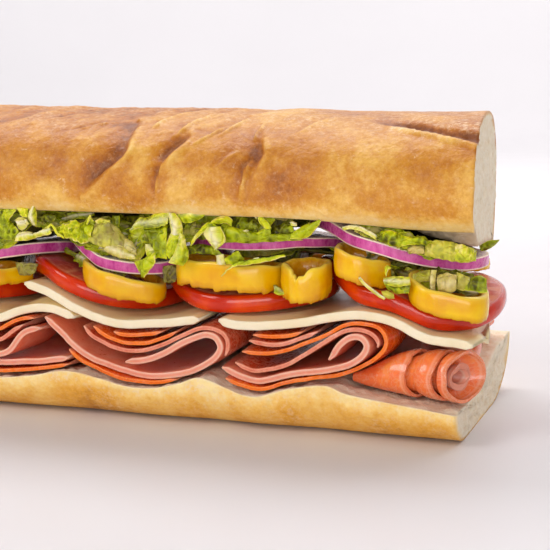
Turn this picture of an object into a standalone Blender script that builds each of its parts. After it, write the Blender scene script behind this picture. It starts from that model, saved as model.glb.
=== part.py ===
"""A submarine sandwich: a cut length of white loaf, filled with folded sliced meats,
cheese, tomato, pickled pepper rings, red onion and shredded lettuce.

The sandwich lies along X, with its cut end at +X and its rounded heel at -X, and its
open side faces -Y. Sizes below are in millimetres, and the meshes are made in metres.
"""

import math
import random

import bmesh
import bpy
from mathutils import Vector, noise

MM = 0.001

# The loaf
HEEL_X = -98.5            # tip of the rounded heel
CUT_X = 93.0              # cut end of the bottom half
HALF_DEPTH = 42.3         # half of the loaf's depth, at its widest
LOAF_TOP = 88.0           # highest point of the top half
TOP_CUT_FRONT_X = 96.8    # cut end of the top half, at the front
TOP_CUT_SKEW = 0.11       # how far that cut runs back to the left, for each mm of depth
HEEL_LENGTH = 35.0        # length over which the loaf rounds off to its heel

# The layers, each at its usual thickness
HAM = 1.8
SALAMI = 1.2
CURED = 1.1
CHEESE = 2.5
TOMATO = 5.0
ONION = 3.5
THIN_ONION = 2.8
FRONT_Y = -38.5
BACK_Y = 38.0

# How the filling settles towards the back, where the loaf stays nearly shut
FILL_LOW = 12.0           # height of the bottom crumb
FILL_HIGH = 60.0          # height of the top crumb
BACK_LIFT = 3.0           # rise of the bottom crumb at the back
BACK_FALL = 7.0           # fall of the top crumb at the back
END_LIFT = 3.5            # further rise of the bottom crumb at the back of the cut end
SWAY = 5.0                # shift to the left at the back
ROLLING = 0.6             # height of the soft waves across the filling

# Height of the bottom crumb along the front, (x, z)
BOTTOM_CRUMB = [(-98, 11.5), (-84, 10.4), (-57, 10.5), (-44, 10.5), (-33, 11.8),
                (-21, 14.0), (-10, 12.5), (-2, 10.9), (6, 11.0), (14, 12.9), (20, 15.0),
                (28, 12.8), (33, 11.1), (38, 11.0), (46, 13.6), (57, 15.4), (63, 13.6),
                (77, 11.8), (93, 9.9)]
# Height of the crust's lower edge on the top half, and of the crumb behind it
TOP_EDGE = [(-97, 61.5), (-44, 60.8), (3, 61.0), (42, 61.3), (62, 60.2), (76, 59.0), (97, 58.7)]
TOP_CRUMB = [(-97, 60.5), (40, 60.6), (58, 60.5), (69, 58.2), (76, 55.6), (84, 53.6), (97, 52.2)]


def lerp(a, b, t):
    return a + (b - a) * t


def ease(t):
    """A smooth step from 0 to 1."""
    t = min(max(t, 0.0), 1.0)
    return t * t * (3.0 - 2.0 * t)


def height(profile, x):
    """Height of a smooth line through the profile's (x, z) points."""
    if x <= profile[0][0]:
        return profile[0][1]
    if x >= profile[-1][0]:
        return profile[-1][1]
    i = max(k for k in range(len(profile) - 1) if profile[k][0] <= x)
    (x0, z0), (x1, z1) = profile[i], profile[i + 1]

    def slope(k):
        a, b = profile[max(k - 1, 0)], profile[min(k + 1, len(profile) - 1)]
        return (b[1] - a[1]) / (b[0] - a[0])

    w = x1 - x0
    t = (x - x0) / w
    return ((2 * t**3 - 3 * t**2 + 1) * z0 + (t**3 - 2 * t**2 + t) * w * slope(i)
            + (3 * t**2 - 2 * t**3) * z1 + (t**3 - t**2) * w * slope(i + 1))


def smooth_path(points, step):
    """Points about a step apart on a smooth curve through the given ones."""
    curve = []
    last = len(points) - 1
    for i in range(last):
        p0, p1 = Vector(points[max(i - 1, 0)]), Vector(points[i])
        p2, p3 = Vector(points[i + 1]), Vector(points[min(i + 2, last)])
        pieces = 12
        for k in range(pieces):
            t = k / pieces
            curve.append(0.5 * (2 * p1 + (p2 - p0) * t + (2 * p0 - 5 * p1 + 4 * p2 - p3) * t**2
                                + (3 * p1 - p0 - 3 * p2 + p3) * t**3))
    curve.append(Vector(points[-1]))
    reach = [0.0]
    for a, b in zip(curve, curve[1:]):
        reach.append(reach[-1] + (b - a).length)
    count = max(2, round(reach[-1] / step))
    path = []
    k = 0
    for i in range(count + 1):
        goal = reach[-1] * i / count
        while k < len(reach) - 2 and reach[k + 1] < goal:
            k += 1
        span = reach[k + 1] - reach[k]
        path.append(curve[k].lerp(curve[k + 1], (goal - reach[k]) / span if span else 0.0))
    return path


def heel(x):
    """Width of the loaf at x, as a share of its full width."""
    t = min(max((HEEL_X + HEEL_LENGTH - x) / HEEL_LENGTH, 0.0), 0.985)
    return (1.0 - t**2.3) ** (1 / 2.3)


def drift(y):
    """How far the filling leans along the loaf at y, nothing at the front."""
    return -SWAY * ease((y + 30.0) / 62.0) + 1.2 * math.sin(math.pi * (y - FRONT_Y) / 38.0)


def settle(x, y, z):
    """Where a point of the evenly laid filling ends up in the finished sandwich."""
    back = ease((y + 30.0) / 62.0)
    rise = BACK_LIFT + END_LIFT * ease((x - 60.0) / 33.0)
    sink = (rise + BACK_FALL) / (FILL_HIGH - FILL_LOW)
    wave = math.sin(math.pi * (y - FRONT_Y) / 38.0)
    lift = back * (rise - (z - FILL_LOW) * sink) + ROLLING * wave * math.sin(x / 17.0)
    return Vector((x + drift(y), y * heel(x), z + lift))


def crumb_level(profile, x, y):
    """Height at x and y of a crumb whose height in the evenly laid loaf is the profile."""
    laid_x, laid_y = x, y
    for _ in range(5):
        laid_y = y / heel(laid_x)
        laid_x = x - drift(laid_y)
    return settle(laid_x, laid_y, height(profile, laid_x)).z


def finish_mesh(name, verts, faces, material, settled=True):
    """One object from points in millimetres and faces."""
    points = [settle(*v) if settled else Vector(v) for v in verts]
    mesh = bpy.data.meshes.new(name)
    mesh.from_pydata([p * MM for p in points], [], faces)
    work = bmesh.new()
    work.from_mesh(mesh)
    bmesh.ops.recalc_face_normals(work, faces=work.faces)
    work.to_mesh(mesh)
    work.free()
    mesh.shade_smooth()
    mesh.set_sharp_from_angle(angle=math.radians(40))
    mesh.materials.append(material)
    obj = bpy.data.objects.new(name, mesh)
    bpy.context.scene.collection.objects.link(obj)
    return obj


def plain_material(name, colour, roughness):
    material = bpy.data.materials.new(name)
    material.use_nodes = True
    shader = material.node_tree.nodes["Principled BSDF"]
    shader.inputs["Base Color"].default_value = (*colour, 1.0)
    shader.inputs["Roughness"].default_value = roughness
    shader.inputs["Metallic"].default_value = 0.0
    return material


def lofted(rings, closed_ends=True, hub_rise=0.0):
    """Points and faces of a skin over rings that have equally many points.

    Its ends are closed from their middles, which hub_rise moves up.
    """
    count = len(rings[0])
    verts = [p for ring in rings for p in ring]
    faces = []
    for i in range(len(rings) - 1):
        for j in range(count):
            k = (j + 1) % count
            a, b = i * count, (i + 1) * count
            faces.append((a + j, a + k, b + k, b + j))
    for first in (0, len(verts) - count) if closed_ends else ():
        middle = [sum(verts[first + j][k] for j in range(count)) / count for k in range(3)]
        verts.append((middle[0], middle[1], middle[2] + hub_rise))
        hub = len(verts) - 1
        faces += [(first + j, first + (j + 1) % count, hub) for j in range(count)]
    return verts, faces


def sheet(front, back):
    """Points and faces of a solid between two grids of points, split alike."""
    rows, columns = len(front), len(front[0])
    size = rows * columns
    verts = [p for row in front for p in row] + [p for row in back for p in row]
    faces = []
    for i in range(rows - 1):
        for j in range(columns - 1):
            a, b = i * columns + j, i * columns + j + 1
            c, d = a + columns + 1, a + columns
            faces += [(a, b, c), (a, c, d)]
            faces += [(size + a, size + c, size + b), (size + a, size + d, size + c)]
    border = [j for j in range(columns)]
    border += [i * columns + columns - 1 for i in range(1, rows)]
    border += [(rows - 1) * columns + j for j in range(columns - 2, -1, -1)]
    border += [i * columns for i in range(rows - 2, 0, -1)]
    for i, a in enumerate(border):
        b = border[(i + 1) % len(border)]
        faces.append((a, b, size + b, size + a))
    return verts, faces


# The bread


def loaf_stations(cut_x):
    """Places along the loaf, closer together where its heel rounds off."""
    round_off = [HEEL_X + HEEL_LENGTH * (1 - math.cos(math.pi / 2 * k / 7)) for k in range(7)]
    start = HEEL_X + HEEL_LENGTH
    straight = 19
    return round_off + [lerp(start, cut_x, k / straight) for k in range(straight + 1)]


def bottom_section(x):
    """The bottom half's outline at x: crust from front to back, then crumb."""
    narrow = heel(x)
    rim_front = height(BOTTOM_CRUMB, x)
    rim_back = crumb_level(BOTTOM_CRUMB, x, 38.5 * narrow) + 0.2
    foot_front, foot_back = -27.0, 12.0
    rise = (1.0 - narrow) * 8.0
    wobble = 0.5 * math.sin(x / 9.0) + 0.4 * math.sin(x / 5.3 + 1.0)
    ring = []
    for k in range(7):
        a = math.pi / 2 * k / 6
        ring.append((foot_front - (HALF_DEPTH + foot_front) * math.cos(a) * (1 + 0.012 * wobble),
                     rim_front * (1.0 - math.sin(a))))
    ring += [(-14.0, 0.0), (0.0, 0.0)]
    for k in range(7):
        a = math.pi / 2 * k / 6
        ring.append((foot_back + (HALF_DEPTH - 0.3 - foot_back) * math.sin(a),
                     rim_back * (1.0 - math.cos(a))))
    outline = [(x, y * narrow, lerp(z, rim_front, rise / 14.0 if z < rim_front else 0.0))
               for y, z in ring]
    for k in range(7):
        y = lerp(37.0, -38.5, k / 6) * narrow
        pit = 0.5 * noise.noise(Vector((x * 0.09, y * 0.11, 3.0)))
        outline.append((x, y, crumb_level(BOTTOM_CRUMB, x, y) - 0.4 + pit * 0.4))
    return outline


def make_bottom_bread(material):
    rings = [bottom_section(x) for x in loaf_stations(CUT_X)]
    verts, faces = lofted(rings)
    return finish_mesh("bread_bottom", verts, faces, material, settled=False)


# Folds and dents of the top crust: ends of each as (x, share of the way over), then
# width and depth in millimetres, a rise where the depth is negative
CRUST_FOLDS = [
    ((5, 0.33), (-6, 0.12), 3.5, 1.5),
    ((24, 0.36), (18, 0.14), 3.5, 1.0),
    ((-9, 0.38), (-26, 0.14), 4.5, -1.0),
    ((31, 0.17), (35, 0.15), 6.0, 0.8),
    ((-62, 0.36), (-74, 0.16), 4.0, 1.2),
    ((-36, 0.62), (-22, 0.86), 4.5, 1.1),
    ((12, 0.64), (20, 0.84), 4.5, 0.9),
    ((48, 0.66), (58, 0.88), 5.0, 0.9),
]
# The score that opened in the oven: its groove, and the lips beside it
SCORE = [
    ((64, 0.398), (96, 0.302), 2.2, 1.8),
    ((60, 0.385), (95, 0.283), 1.8, -1.0),
    ((66, 0.455), (92, 0.420), 5.0, -0.7),
]
ARC_LENGTH = 130.0        # rough length of the top crust from edge to edge


def crust_relief(x, share):
    """How far the top crust sinks in at x and at this share of the way over."""
    depth = 0.0
    for (x0, s0), (x1, s1), width, sunk in CRUST_FOLDS + SCORE:
        a = Vector((x0, s0 * ARC_LENGTH))
        b = Vector((x1, s1 * ARC_LENGTH))
        p = Vector((x, share * ARC_LENGTH))
        along = min(max((p - a).dot(b - a) / (b - a).length_squared, 0.0), 1.0)
        away = (p - a.lerp(b, along)).length
        depth += sunk * math.exp(-((away / width) ** 2))
    return depth + 0.5 * noise.noise(Vector((x * 0.05, share * 7.0, 0.0)))


def top_section(u):
    """The top half's outline at a share u of its length."""
    mid_x = lerp(HEEL_X, TOP_CUT_FRONT_X - TOP_CUT_SKEW * HALF_DEPTH, u)
    narrow = heel(mid_x)
    equator = 66.0
    front_low, back_low = 13.0, 31.0
    front_edge = height(TOP_EDGE, mid_x)
    back_edge = crumb_level(TOP_CRUMB, mid_x, 38.5 * narrow) - 1.0
    crown = (LOAF_TOP - equator) * (1.0 + 0.01 * math.sin(mid_x / 14.0))
    start = -math.asin((equator - front_edge) / front_low)
    stop = math.pi + math.asin((equator - back_edge) / back_low)
    outline = []
    steps = 21
    for k in range(steps + 1):
        a = lerp(start, stop, k / steps)
        c, s = math.cos(a), math.sin(a)
        power = 2 / 2.35
        reach = HALF_DEPTH if c > 0 else HALF_DEPTH - 0.3
        drop = crown if s > 0 else (front_low if c > 0 else back_low)
        y = -reach * math.copysign(abs(c) ** power, c)
        z = drop * math.copysign(abs(s) ** power, s)
        sunk = crust_relief(mid_x, k / steps) * ease(k / 2) * ease((steps - k) / 2)
        size = math.hypot(y, z)
        keep = (size - sunk) / size
        flat = 0.35 + 0.65 * narrow
        outline.append((y * keep * narrow, equator + z * keep * flat))
    inner_front, inner_back = -37.0, 36.5
    for k in range(8):
        t = k / 7
        y = lerp(inner_back, inner_front, t)
        bevel = ease((-y - 23.0) / 15.0)
        inside = crumb_level(TOP_CRUMB, mid_x, y * narrow) + 0.7
        pit = 0.3 * noise.noise(Vector((mid_x * 0.08, y * 0.1, 8.0)))
        outline.append((y * narrow, lerp(inside, height(TOP_EDGE, mid_x) + 0.3, bevel) + pit))
    ring = []
    for y, z in outline:
        cut = TOP_CUT_FRONT_X - TOP_CUT_SKEW * (y + HALF_DEPTH)
        ring.append((lerp(HEEL_X, cut, u), y, z))
    return ring


def make_top_bread(material):
    length = TOP_CUT_FRONT_X - TOP_CUT_SKEW * HALF_DEPTH - HEEL_X
    far = HEEL_X + length
    shares = [(x - HEEL_X) / length for x in loaf_stations(far)]
    verts, faces = lofted([top_section(u) for u in shares], hub_rise=8.0)
    return finish_mesh("bread_top", verts, faces, material, settled=False)


# Slices that lie flat: cheese, tomato and onion

END_TILT = 3.5            # rise of the last tomato slice at the back of the cut end


def end_tilt(x, y):
    """How far the last tomato slice rises towards the back of the cut end."""
    return END_TILT * ease((x - 78.0) / 16.0) * ease((y + 34.0) / 40.0)


def slice_disc(name, mid_x, half_x, half_y, profile, thick, material, spokes=16, seed=0,
               tilt=None):
    """A round slice that drapes over the profile, its rim a little uneven."""
    def point(share, a, top):
        uneven = 1.0 + 0.03 * math.sin(2 * a + seed) + 0.02 * math.sin(3 * a + 2 * seed)
        x = mid_x + half_x * share * math.cos(a) * uneven
        y = half_y * share * math.sin(a) * (1.0 + 0.015 * math.sin(3 * a + seed))
        up = tilt(x, y) if tilt else 0.0
        return (x, y, height(profile, x) + up + (thick if top else 0.0))

    verts, faces = [], []
    shares = (0.45, 0.8, 1.0)
    for top in (False, True):
        verts.append(point(0.0, 0.0, top))
        for share in shares:
            verts += [point(share, 2 * math.pi * k / spokes, top) for k in range(spokes)]
    side = 1 + len(shares) * spokes
    for base in (0, side):
        for k in range(spokes):
            n = (k + 1) % spokes
            faces.append((base, base + 1 + k, base + 1 + n))
            for r in range(len(shares) - 1):
                a, b = base + 1 + r * spokes, base + 1 + (r + 1) * spokes
                faces.append((a + k, b + k, b + n, a + n))
    rim = 1 + (len(shares) - 1) * spokes
    for k in range(spokes):
        n = (k + 1) % spokes
        faces.append((rim + k, rim + n, side + rim + n, side + rim + k))
    return finish_mesh(name, verts, faces, material)


def slice_square(name, profile, thick, material, raised=0.0, droop=0.0, columns=12, rows=6):
    """A cheese slice over the profile, its front edge hanging, its right edge too."""
    x0, x1 = profile[0][0], profile[-1][0]
    low, high = [], []
    for i in range(rows):
        y = lerp(FRONT_Y, BACK_Y, i / (rows - 1))
        inside = ease((y - FRONT_Y) / 15.0) * ease((BACK_Y - y) / 13.0)
        bottom, top = [], []
        for j in range(columns):
            t = j / (columns - 1)
            x = lerp(x0, x1, t)
            z = height(profile, x) + raised * inside * ease(min(t, 1 - t) * 5.0)
            hang = droop * ease((y + 26.0) / 10.0) * ease((x - (x1 - 6.0)) / 6.0)
            wave = 0.6 * math.sin(x / 7.0) * (1.0 - inside)
            bottom.append((x, y + wave, z - hang))
            top.append((x, y + wave, z - hang + thick))
        low.append(bottom)
        high.append(top)
    verts, faces = sheet(low, high)
    return finish_mesh(name, verts, faces, material)


CHEESE_SLICES = {
    "cheese_1": ([(-88, 23.5), (-75, 27.4), (-60, 27.6), (-52, 26.8), (-44, 26.4),
                  (-38, 28.6), (-32, 29.9), (-27, 30.0), (-23.5, 29.3), (-19.5, 28.0)], 1.2, 0.0),
    "cheese_2": ([(-36, 37.0), (-32, 36.0), (-25, 33.7), (-20, 31.2), (-12, 28.3), (-4, 27.1),
                  (0, 27.1), (9, 27.9), (14, 28.8), (19, 29.5)], 0.0, 0.0),
    "cheese_3": ([(25, 29.8), (29, 29.2), (37, 29.1), (43, 29.6), (50, 30.7), (56, 32.0),
                  (63, 33.3), (70, 33.4), (74, 32.6), (78, 31.0), (84, 28.4), (88, 27.9),
                  (93, 27.4), (96.5, 26.8)], 0.0, 3.0),
}

TOMATO_SLICES = [
    (-66.0, 25.0, [(-92, 31.0), (-75, 31.8), (-60, 31.8), (-45, 31.4), (-40, 32.2)]),
    (-21.0, 24.5, [(-46, 38.8), (-42, 39.4), (-36, 40.2), (-32, 39.9), (-28, 38.4), (-22, 36.0),
                   (-13, 32.6), (-4, 30.4), (4, 30.4)]),
    (24.5, 26.5, [(-3, 36.7), (3, 36.1), (8, 34.8), (16, 33.3), (24, 32.6), (37, 32.9),
                  (45, 33.8), (52, 35.4)]),
    (73.5, 27.3, [(46, 42.0), (52, 41.4), (57, 39.8), (63, 37.4), (70, 36.4), (74, 35.6),
                  (78, 34.0), (84, 31.4), (92, 30.4), (101, 30.4)]),
]

ONION_SLICES = [
    (-53.5, 24.5, ONION, [(-79, 43.5), (-60, 42.8), (-50, 43.8), (-44, 44.9), (-38, 45.8),
                           (-33, 45.9), (-28, 45.6)]),
    (-9.0, 26.0, ONION, [(-36, 52.0), (-30, 50.9), (-24, 49.0), (-17, 45.9), (-13, 44.0),
                         (-5, 42.6), (1, 42.0), (5, 42.1), (13.5, 43.9), (18, 45.3)]),
    (30.5, 25.5, THIN_ONION, [(4, 48.9), (10, 49.0), (17, 50.0), (26, 50.5), (37, 50.7),
                              (46, 50.8), (57, 50.2)]),
    (69.2, 25.8, ONION, [(42, 56.6), (50, 56.0), (54.5, 55.4), (57, 54.7), (61, 53.3),
                         (66, 52.2), (70.5, 51.2), (77, 49.2), (85.5, 47.2), (91, 46.4),
                         (97, 46.5)]),
]


# Slices that are folded: the paths of their cut edges, (x, z), seen from the front

FOLDED_HAM = {
    "ham_1": [(-21.6, 17.3), (-26.9, 16.1), (-32.8, 15.2), (-44.6, 14.2), (-57, 13.6),
              (-70, 13.4), (-80, 13.7), (-85.6, 14.9), (-86, 17.2), (-80, 18.0), (-72, 20.2),
              (-64, 20.6), (-56, 18.6), (-50, 17.2), (-45.5, 16.8), (-41.8, 17.5),
              (-39.4, 19.4), (-37.4, 22.0), (-35.2, 24.1), (-32.5, 25.2), (-30.2, 25.4)],
    "ham_2": [(-29.4, 28.7), (-26.8, 26.6), (-23.6, 23.8), (-19.6, 20.4), (-15.4, 17.8),
              (-8.4, 15.5), (-4.2, 14.5), (0.5, 13.8), (5.7, 13.7), (14.0, 15.2), (19.4, 17.2),
              (23.4, 19.8), (25.5, 22.4), (25.6, 24.4), (24.2, 26.2), (21.7, 26.9),
              (18.6, 26.1), (14.1, 23.8), (8.6, 20.7), (3.0, 18.4), (-3.4, 17.2)],
    "ham_3": [(25.6, 17.5), (28.0, 16.7), (31.9, 15.2), (36.1, 14.4), (40.2, 15.3),
              (44.1, 16.7), (50.3, 18.1), (55.0, 18.9), (59.7, 19.8), (63.3, 21.2),
              (66.7, 23.8), (68.0, 26.4), (67.0, 28.3), (65.0, 28.9), (62.6, 28.2),
              (60.2, 26.2), (58.2, 23.6), (56.9, 21.8)],
}
FOLDED_SALAMI = {
    "salami_1": [(-87, 20.6), (-80, 22.0), (-70, 23.4), (-60, 23.2), (-52, 21.8),
                 (-44.4, 21.2), (-41.4, 22.4), (-38.4, 24.6), (-36.0, 26.0)],
    "salami_2": [(-17.0, 26.8), (-14.5, 24.2), (-10.5, 22.2), (-6.9, 21.1), (-2.5, 20.5),
                 (3.1, 21.2), (8.6, 23.2), (14.1, 26.1), (18.8, 28.3), (22.5, 28.9),
                 (26.2, 27.9), (27.9, 25.6), (27.8, 22.9), (27.2, 21.2)],
    "salami_3": [(29.6, 19.2), (32.9, 17.9), (36.7, 17.4), (44.1, 19.4), (50.3, 23.0),
                 (56.5, 27.2), (61.1, 29.9), (65.5, 30.9), (69.0, 30.0), (70.8, 27.8),
                 (70.7, 26.2)],
    "salami_4": [(34.0, 25.8), (38.3, 25.5), (44.0, 25.6), (50.3, 27.9), (53.4, 29.3)],
}
FOLDED_CURED = {
    "cured_1": [(-88, 22.2), (-80, 24.2), (-70, 25.8), (-60, 25.6), (-52, 24.6),
                (-44.3, 24.4), (-41.3, 25.6), (-38.3, 27.2), (-34.8, 28.2), (-32.0, 28.3)],
    "cured_2": [(-84, 11.7), (-70, 11.6), (-57, 11.8), (-44.7, 11.9), (-38.7, 12.5),
                (-32.8, 13.2), (-27.0, 14.1), (-21.6, 15.3)],
    "cured_3": [(-21.8, 19.6), (-20.4, 18.4), (-16.4, 16.1), (-9.6, 13.9), (-4.6, 12.7),
                (0.4, 12.0), (5.8, 12.0), (12.0, 13.0)],
    "cured_4": [(-13.5, 27.0), (-10.0, 25.0), (-5.4, 23.5), (-2.5, 22.9), (3.1, 23.2),
                (8.6, 25.1), (12.0, 26.9)],
    "cured_5": [(-6.6, 26.0), (-4.0, 25.4), (0.0, 25.2), (4.0, 25.6), (7.4, 26.5)],
    "cured_6": [(27.4, 14.9), (32.2, 13.1), (36.5, 12.4), (40.9, 13.3), (44.6, 14.7),
                (51.9, 16.4), (59.7, 17.9), (67.3, 21.2), (71.9, 25.0), (73.0, 28.4),
                (71.0, 31.3), (66.0, 32.5), (61.0, 31.6), (56.5, 28.9), (50.3, 26.0),
                (43.4, 23.4), (37.0, 22.5), (32.0, 22.6)],
    "cured_7": [(35.4, 27.6), (39.3, 27.2), (45.6, 27.9), (49.6, 29.2)],
}
# Folds behind the roll, which start at its back
BEHIND_ROLL = {
    "cured_8": ([(64, 14.9), (70, 14.3), (78, 13.3), (86, 12.4), (91.2, 13.0), (93.0, 15.4),
                 (91.4, 17.8), (85, 18.6), (77.5, 20.0)], CURED, "cured"),
    "ham_4": ([(67, 16.4), (74, 15.9), (82, 15.2), (87.0, 15.5)], 1.6, "ham"),
    "ham_5": ([(77.2, 22.6), (82, 21.2), (88, 20.4), (92.2, 20.9), (93.2, 22.9), (90, 24.4),
               (84, 25.3), (79.2, 26.6)], HAM, "ham"),
}
ROLL_BACK_Y = -21.5


def folded_slice(name, path, thick, material, front=FRONT_Y, back=BACK_Y, seed=0, step=4.2):
    """A folded slice, whose edge follows the path, from the front to the back."""
    line = smooth_path([(x, z) for x, z in path], step)
    rows = 4
    one_side, other_side = [], []
    for i, p in enumerate(line):
        a, b = line[max(i - 1, 0)], line[min(i + 1, len(line) - 1)]
        along = (b - a).normalized()
        normal = Vector((-along.y, along.x)) * thick / 2
        u = i / (len(line) - 1)
        start = front + 0.9 * math.sin(5.0 * u + seed) - 0.4
        end = back + 1.0 * math.sin(4.0 * u + 2.0 * seed)
        one_side.append([(p.x + normal.x, lerp(start, end, k / (rows - 1)), p.y + normal.y)
                         for k in range(rows)])
        other_side.append([(p.x - normal.x, lerp(start, end, k / (rows - 1)), p.y - normal.y)
                           for k in range(rows)])
    verts, faces = sheet(one_side, other_side)
    return finish_mesh(name, verts, faces, material)


# The roll at the cut end: (x, outer radius) of each slice wound round the next, its
# thickness, and how far its front is cut back
ROLL_AXIS_Y = -31.0
ROLL_AXIS = [(60, 15.9), (66, 16.6), (72, 17.7), (78, 18.5), (86, 18.7), (97, 18.4)]
ROLL_SLICES = {
    "roll_cured_1": ([(61.5, 1.2), (66, 2.7), (71, 4.3), (76, 5.6), (80, 6.4), (82.5, 6.7)],
                     0.9, 4.0),
    "roll_cured_2": ([(74, 3.9), (78, 4.7), (82, 5.5), (84, 6.3), (87, 7.0), (91, 7.3)],
                     0.9, 5.0),
    "roll_cured_3": ([(82, 4.0), (86, 4.9), (90, 5.8), (92, 6.9), (94.5, 7.5), (96.4, 7.6)],
                     1.0, 6.4),
}
ROLL_HEART = [(83.5, 1.4), (87, 2.3), (90.5, 3.2), (93.5, 4.0)]
HEART_FORWARD = 1.4       # how far the heart lies in front of the roll's axis


def roll_slice(name, profile, thick, cut_back, material, axis_y=ROLL_AXIS_Y, spokes=12):
    """A slice wound into a hollow cone about the roll's axis."""
    outline = [(x, r) for x, r in profile] + [(x, max(r - thick, 0.35)) for x, r in profile[::-1]]
    first, last = profile[0][0], profile[-1][0]
    rings = []
    for k in range(spokes):
        a = 2 * math.pi * k / spokes
        short = cut_back * (1.0 - math.cos(a)) / 2
        ring = []
        for x, r in outline:
            at = x - short * ease((x - first) / (last - first))
            ring.append((at, axis_y + r * math.cos(a), height(ROLL_AXIS, x) + r * math.sin(a)))
        rings.append(ring)
    verts, faces = lofted(rings + [rings[0]], closed_ends=False)
    count = len(outline)
    verts = verts[:spokes * count]
    faces = [tuple(v % (spokes * count) for v in f) for f in faces]
    return finish_mesh(name, verts, faces, material)


# Pickled pepper rings: middle, half sizes across and deep, height of the underside,
# its slope to the right and to the back, height of the wall, the slope to the back of its
# upper edge, how ragged it is, and the depth of the notch in its front
PEPPER_RINGS = [
    (-51, -29.5, 10.5, 10.5, 37.0, 0.00, 0.02, 5.0, 0.0, 0.5, 0.0),
    (-8.4, -29.0, 11.8, 11.5, 37.3, -0.30, 0.12, 5.2, -0.06, 0.5, 0.0),
    (24.6, -29.3, 15.6, 10.4, 39.4, -0.05, 0.04, 7.4, -0.05, 0.9, 0.0),
    (48.6, -33.4, 6.6, 7.0, 38.4, 0.00, 0.20, 9.2, 0.10, 0.5, 2.6),
    (63.4, -31.5, 7.4, 8.0, 43.7, -0.30, 0.00, 7.6, 0.0, 0.4, 0.0),
    (87.4, -29.8, 10.8, 9.8, 37.2, -0.26, 0.18, 6.8, 0.18, 0.4, 0.0),
    (-64, 27.0, 10.0, 9.5, 37.2, 0.00, 0.00, 5.0, 0.0, 0.5, 0.0),
    (-18.8, 28.0, 7.8, 9.5, 41.4, -0.38, 0.00, 4.2, 0.0, 0.4, 0.0),
    (30.0, 27.0, 13.0, 10.0, 39.2, 0.02, 0.00, 6.6, 0.0, 0.8, 0.0),
    (64.0, 27.5, 9.0, 9.5, 44.4, -0.28, 0.00, 4.2, 0.0, 0.4, 0.0),
    (87.0, 27.0, 8.0, 9.0, 39.6, 0.08, 0.00, 4.4, 0.0, 0.4, 0.0),
]
PEPPER_WALL = 2.4
# The wall's outline, as shares of its thickness inwards and of its height
PEPPER_SECTION = [(0.25, 0.0), (0.0, 0.5), (0.25, 1.0), (1.0, 0.9), (1.0, 0.1)]


def pepper_ring(name, spec, material, seed, spokes=16):
    """A ring cut across a pickled pepper, with a wavy wall and ragged edges."""
    mid_x, mid_y, half_x, half_y, low, slope_x, slope_y, tall, top_slope, ragged, notch = spec
    rings = []
    for k in range(spokes):
        a = 2 * math.pi * k / spokes
        wavy = 1.0 + 0.05 * math.sin(3 * a + seed) + 0.03 * math.sin(5 * a + 2 * seed)
        dip = notch * math.exp(-(((a - 1.5 * math.pi) / 0.5) ** 2))
        ring = []
        for inset, up in PEPPER_SECTION:
            x = mid_x + (half_x - inset * PEPPER_WALL) * wavy * math.cos(a)
            y = mid_y + (half_y - inset * PEPPER_WALL) * wavy * math.sin(a)
            tooth = ragged * (1.0 + math.sin(7 * a + seed)) * 0.5
            level = low + slope_x * (x - mid_x)
            floor = level + slope_y * (y - mid_y) + tooth
            roof = level + tall + top_slope * (y - mid_y) - 0.5 * tooth - dip
            ring.append((x, y, lerp(floor, roof, up)))
        rings.append(ring)
    count = len(rings[0])
    verts, faces = lofted(rings + [rings[0]], closed_ends=False)
    verts = verts[:spokes * count]
    faces = [tuple(v % (spokes * count) for v in f) for f in faces]
    return finish_mesh(name, verts, faces, material)


# Shredded lettuce: a core in the middle of the layer, and leaves and shreds fused on


NEAR_SLICE = 5.0          # how far beyond its rim a slice still counts


def over_slice(x, mid_x, half_x):
    return abs(x - mid_x) < half_x * 1.06 + NEAR_SLICE


def pile_top(x):
    """Height of what the lower lettuce lies on."""
    tops = [height(p, x) + TOMATO for m, r, p in TOMATO_SLICES if over_slice(x, m, r)]
    return max(tops, default=38.0)


def onion_under(x):
    """Height of the lowest onion slice's underside at x."""
    lows = [height(p, x) for m, r, t, p in ONION_SLICES if over_slice(x, m, r)]
    return min(lows, default=46.0)


def onion_over(x):
    """Height of the highest onion slice's upper side at x."""
    tops = [height(p, x) + t for m, r, t, p in ONION_SLICES if over_slice(x, m, r)]
    return max(tops, default=48.0)


def core_solid(name, start, stop, half, low, high, material, columns=26, rows=5):
    """A flat mass between two height functions, with a ragged outline."""
    bottom, top = [], []
    for i in range(columns):
        x = lerp(start, stop, i / (columns - 1))
        reach = half * math.sqrt(max(1.0 - (2.0 * i / (columns - 1) - 1.0) ** 16, 0.15))
        reach *= 0.93 + 0.07 * math.sin(x / 4.3)
        under, over = [], []
        for k in range(rows):
            y = lerp(-reach, reach, k / (rows - 1))
            thin = 0.55 * abs(2.0 * k / (rows - 1) - 1.0) ** 3
            base, roof = low(x), high(x)
            middle = (base + roof) / 2
            bump = 0.35 * math.sin(x / 3.1 + y / 4.0)
            under.append((x, y, lerp(base, middle, thin)))
            over.append((x, y, max(lerp(roof, middle, thin) + bump - 0.35,
                                   lerp(base, middle, thin) + 0.8)))
        bottom.append(under)
        top.append(over)
    verts, faces = sheet(bottom, top)
    return finish_mesh(name, verts, faces, material)


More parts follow.
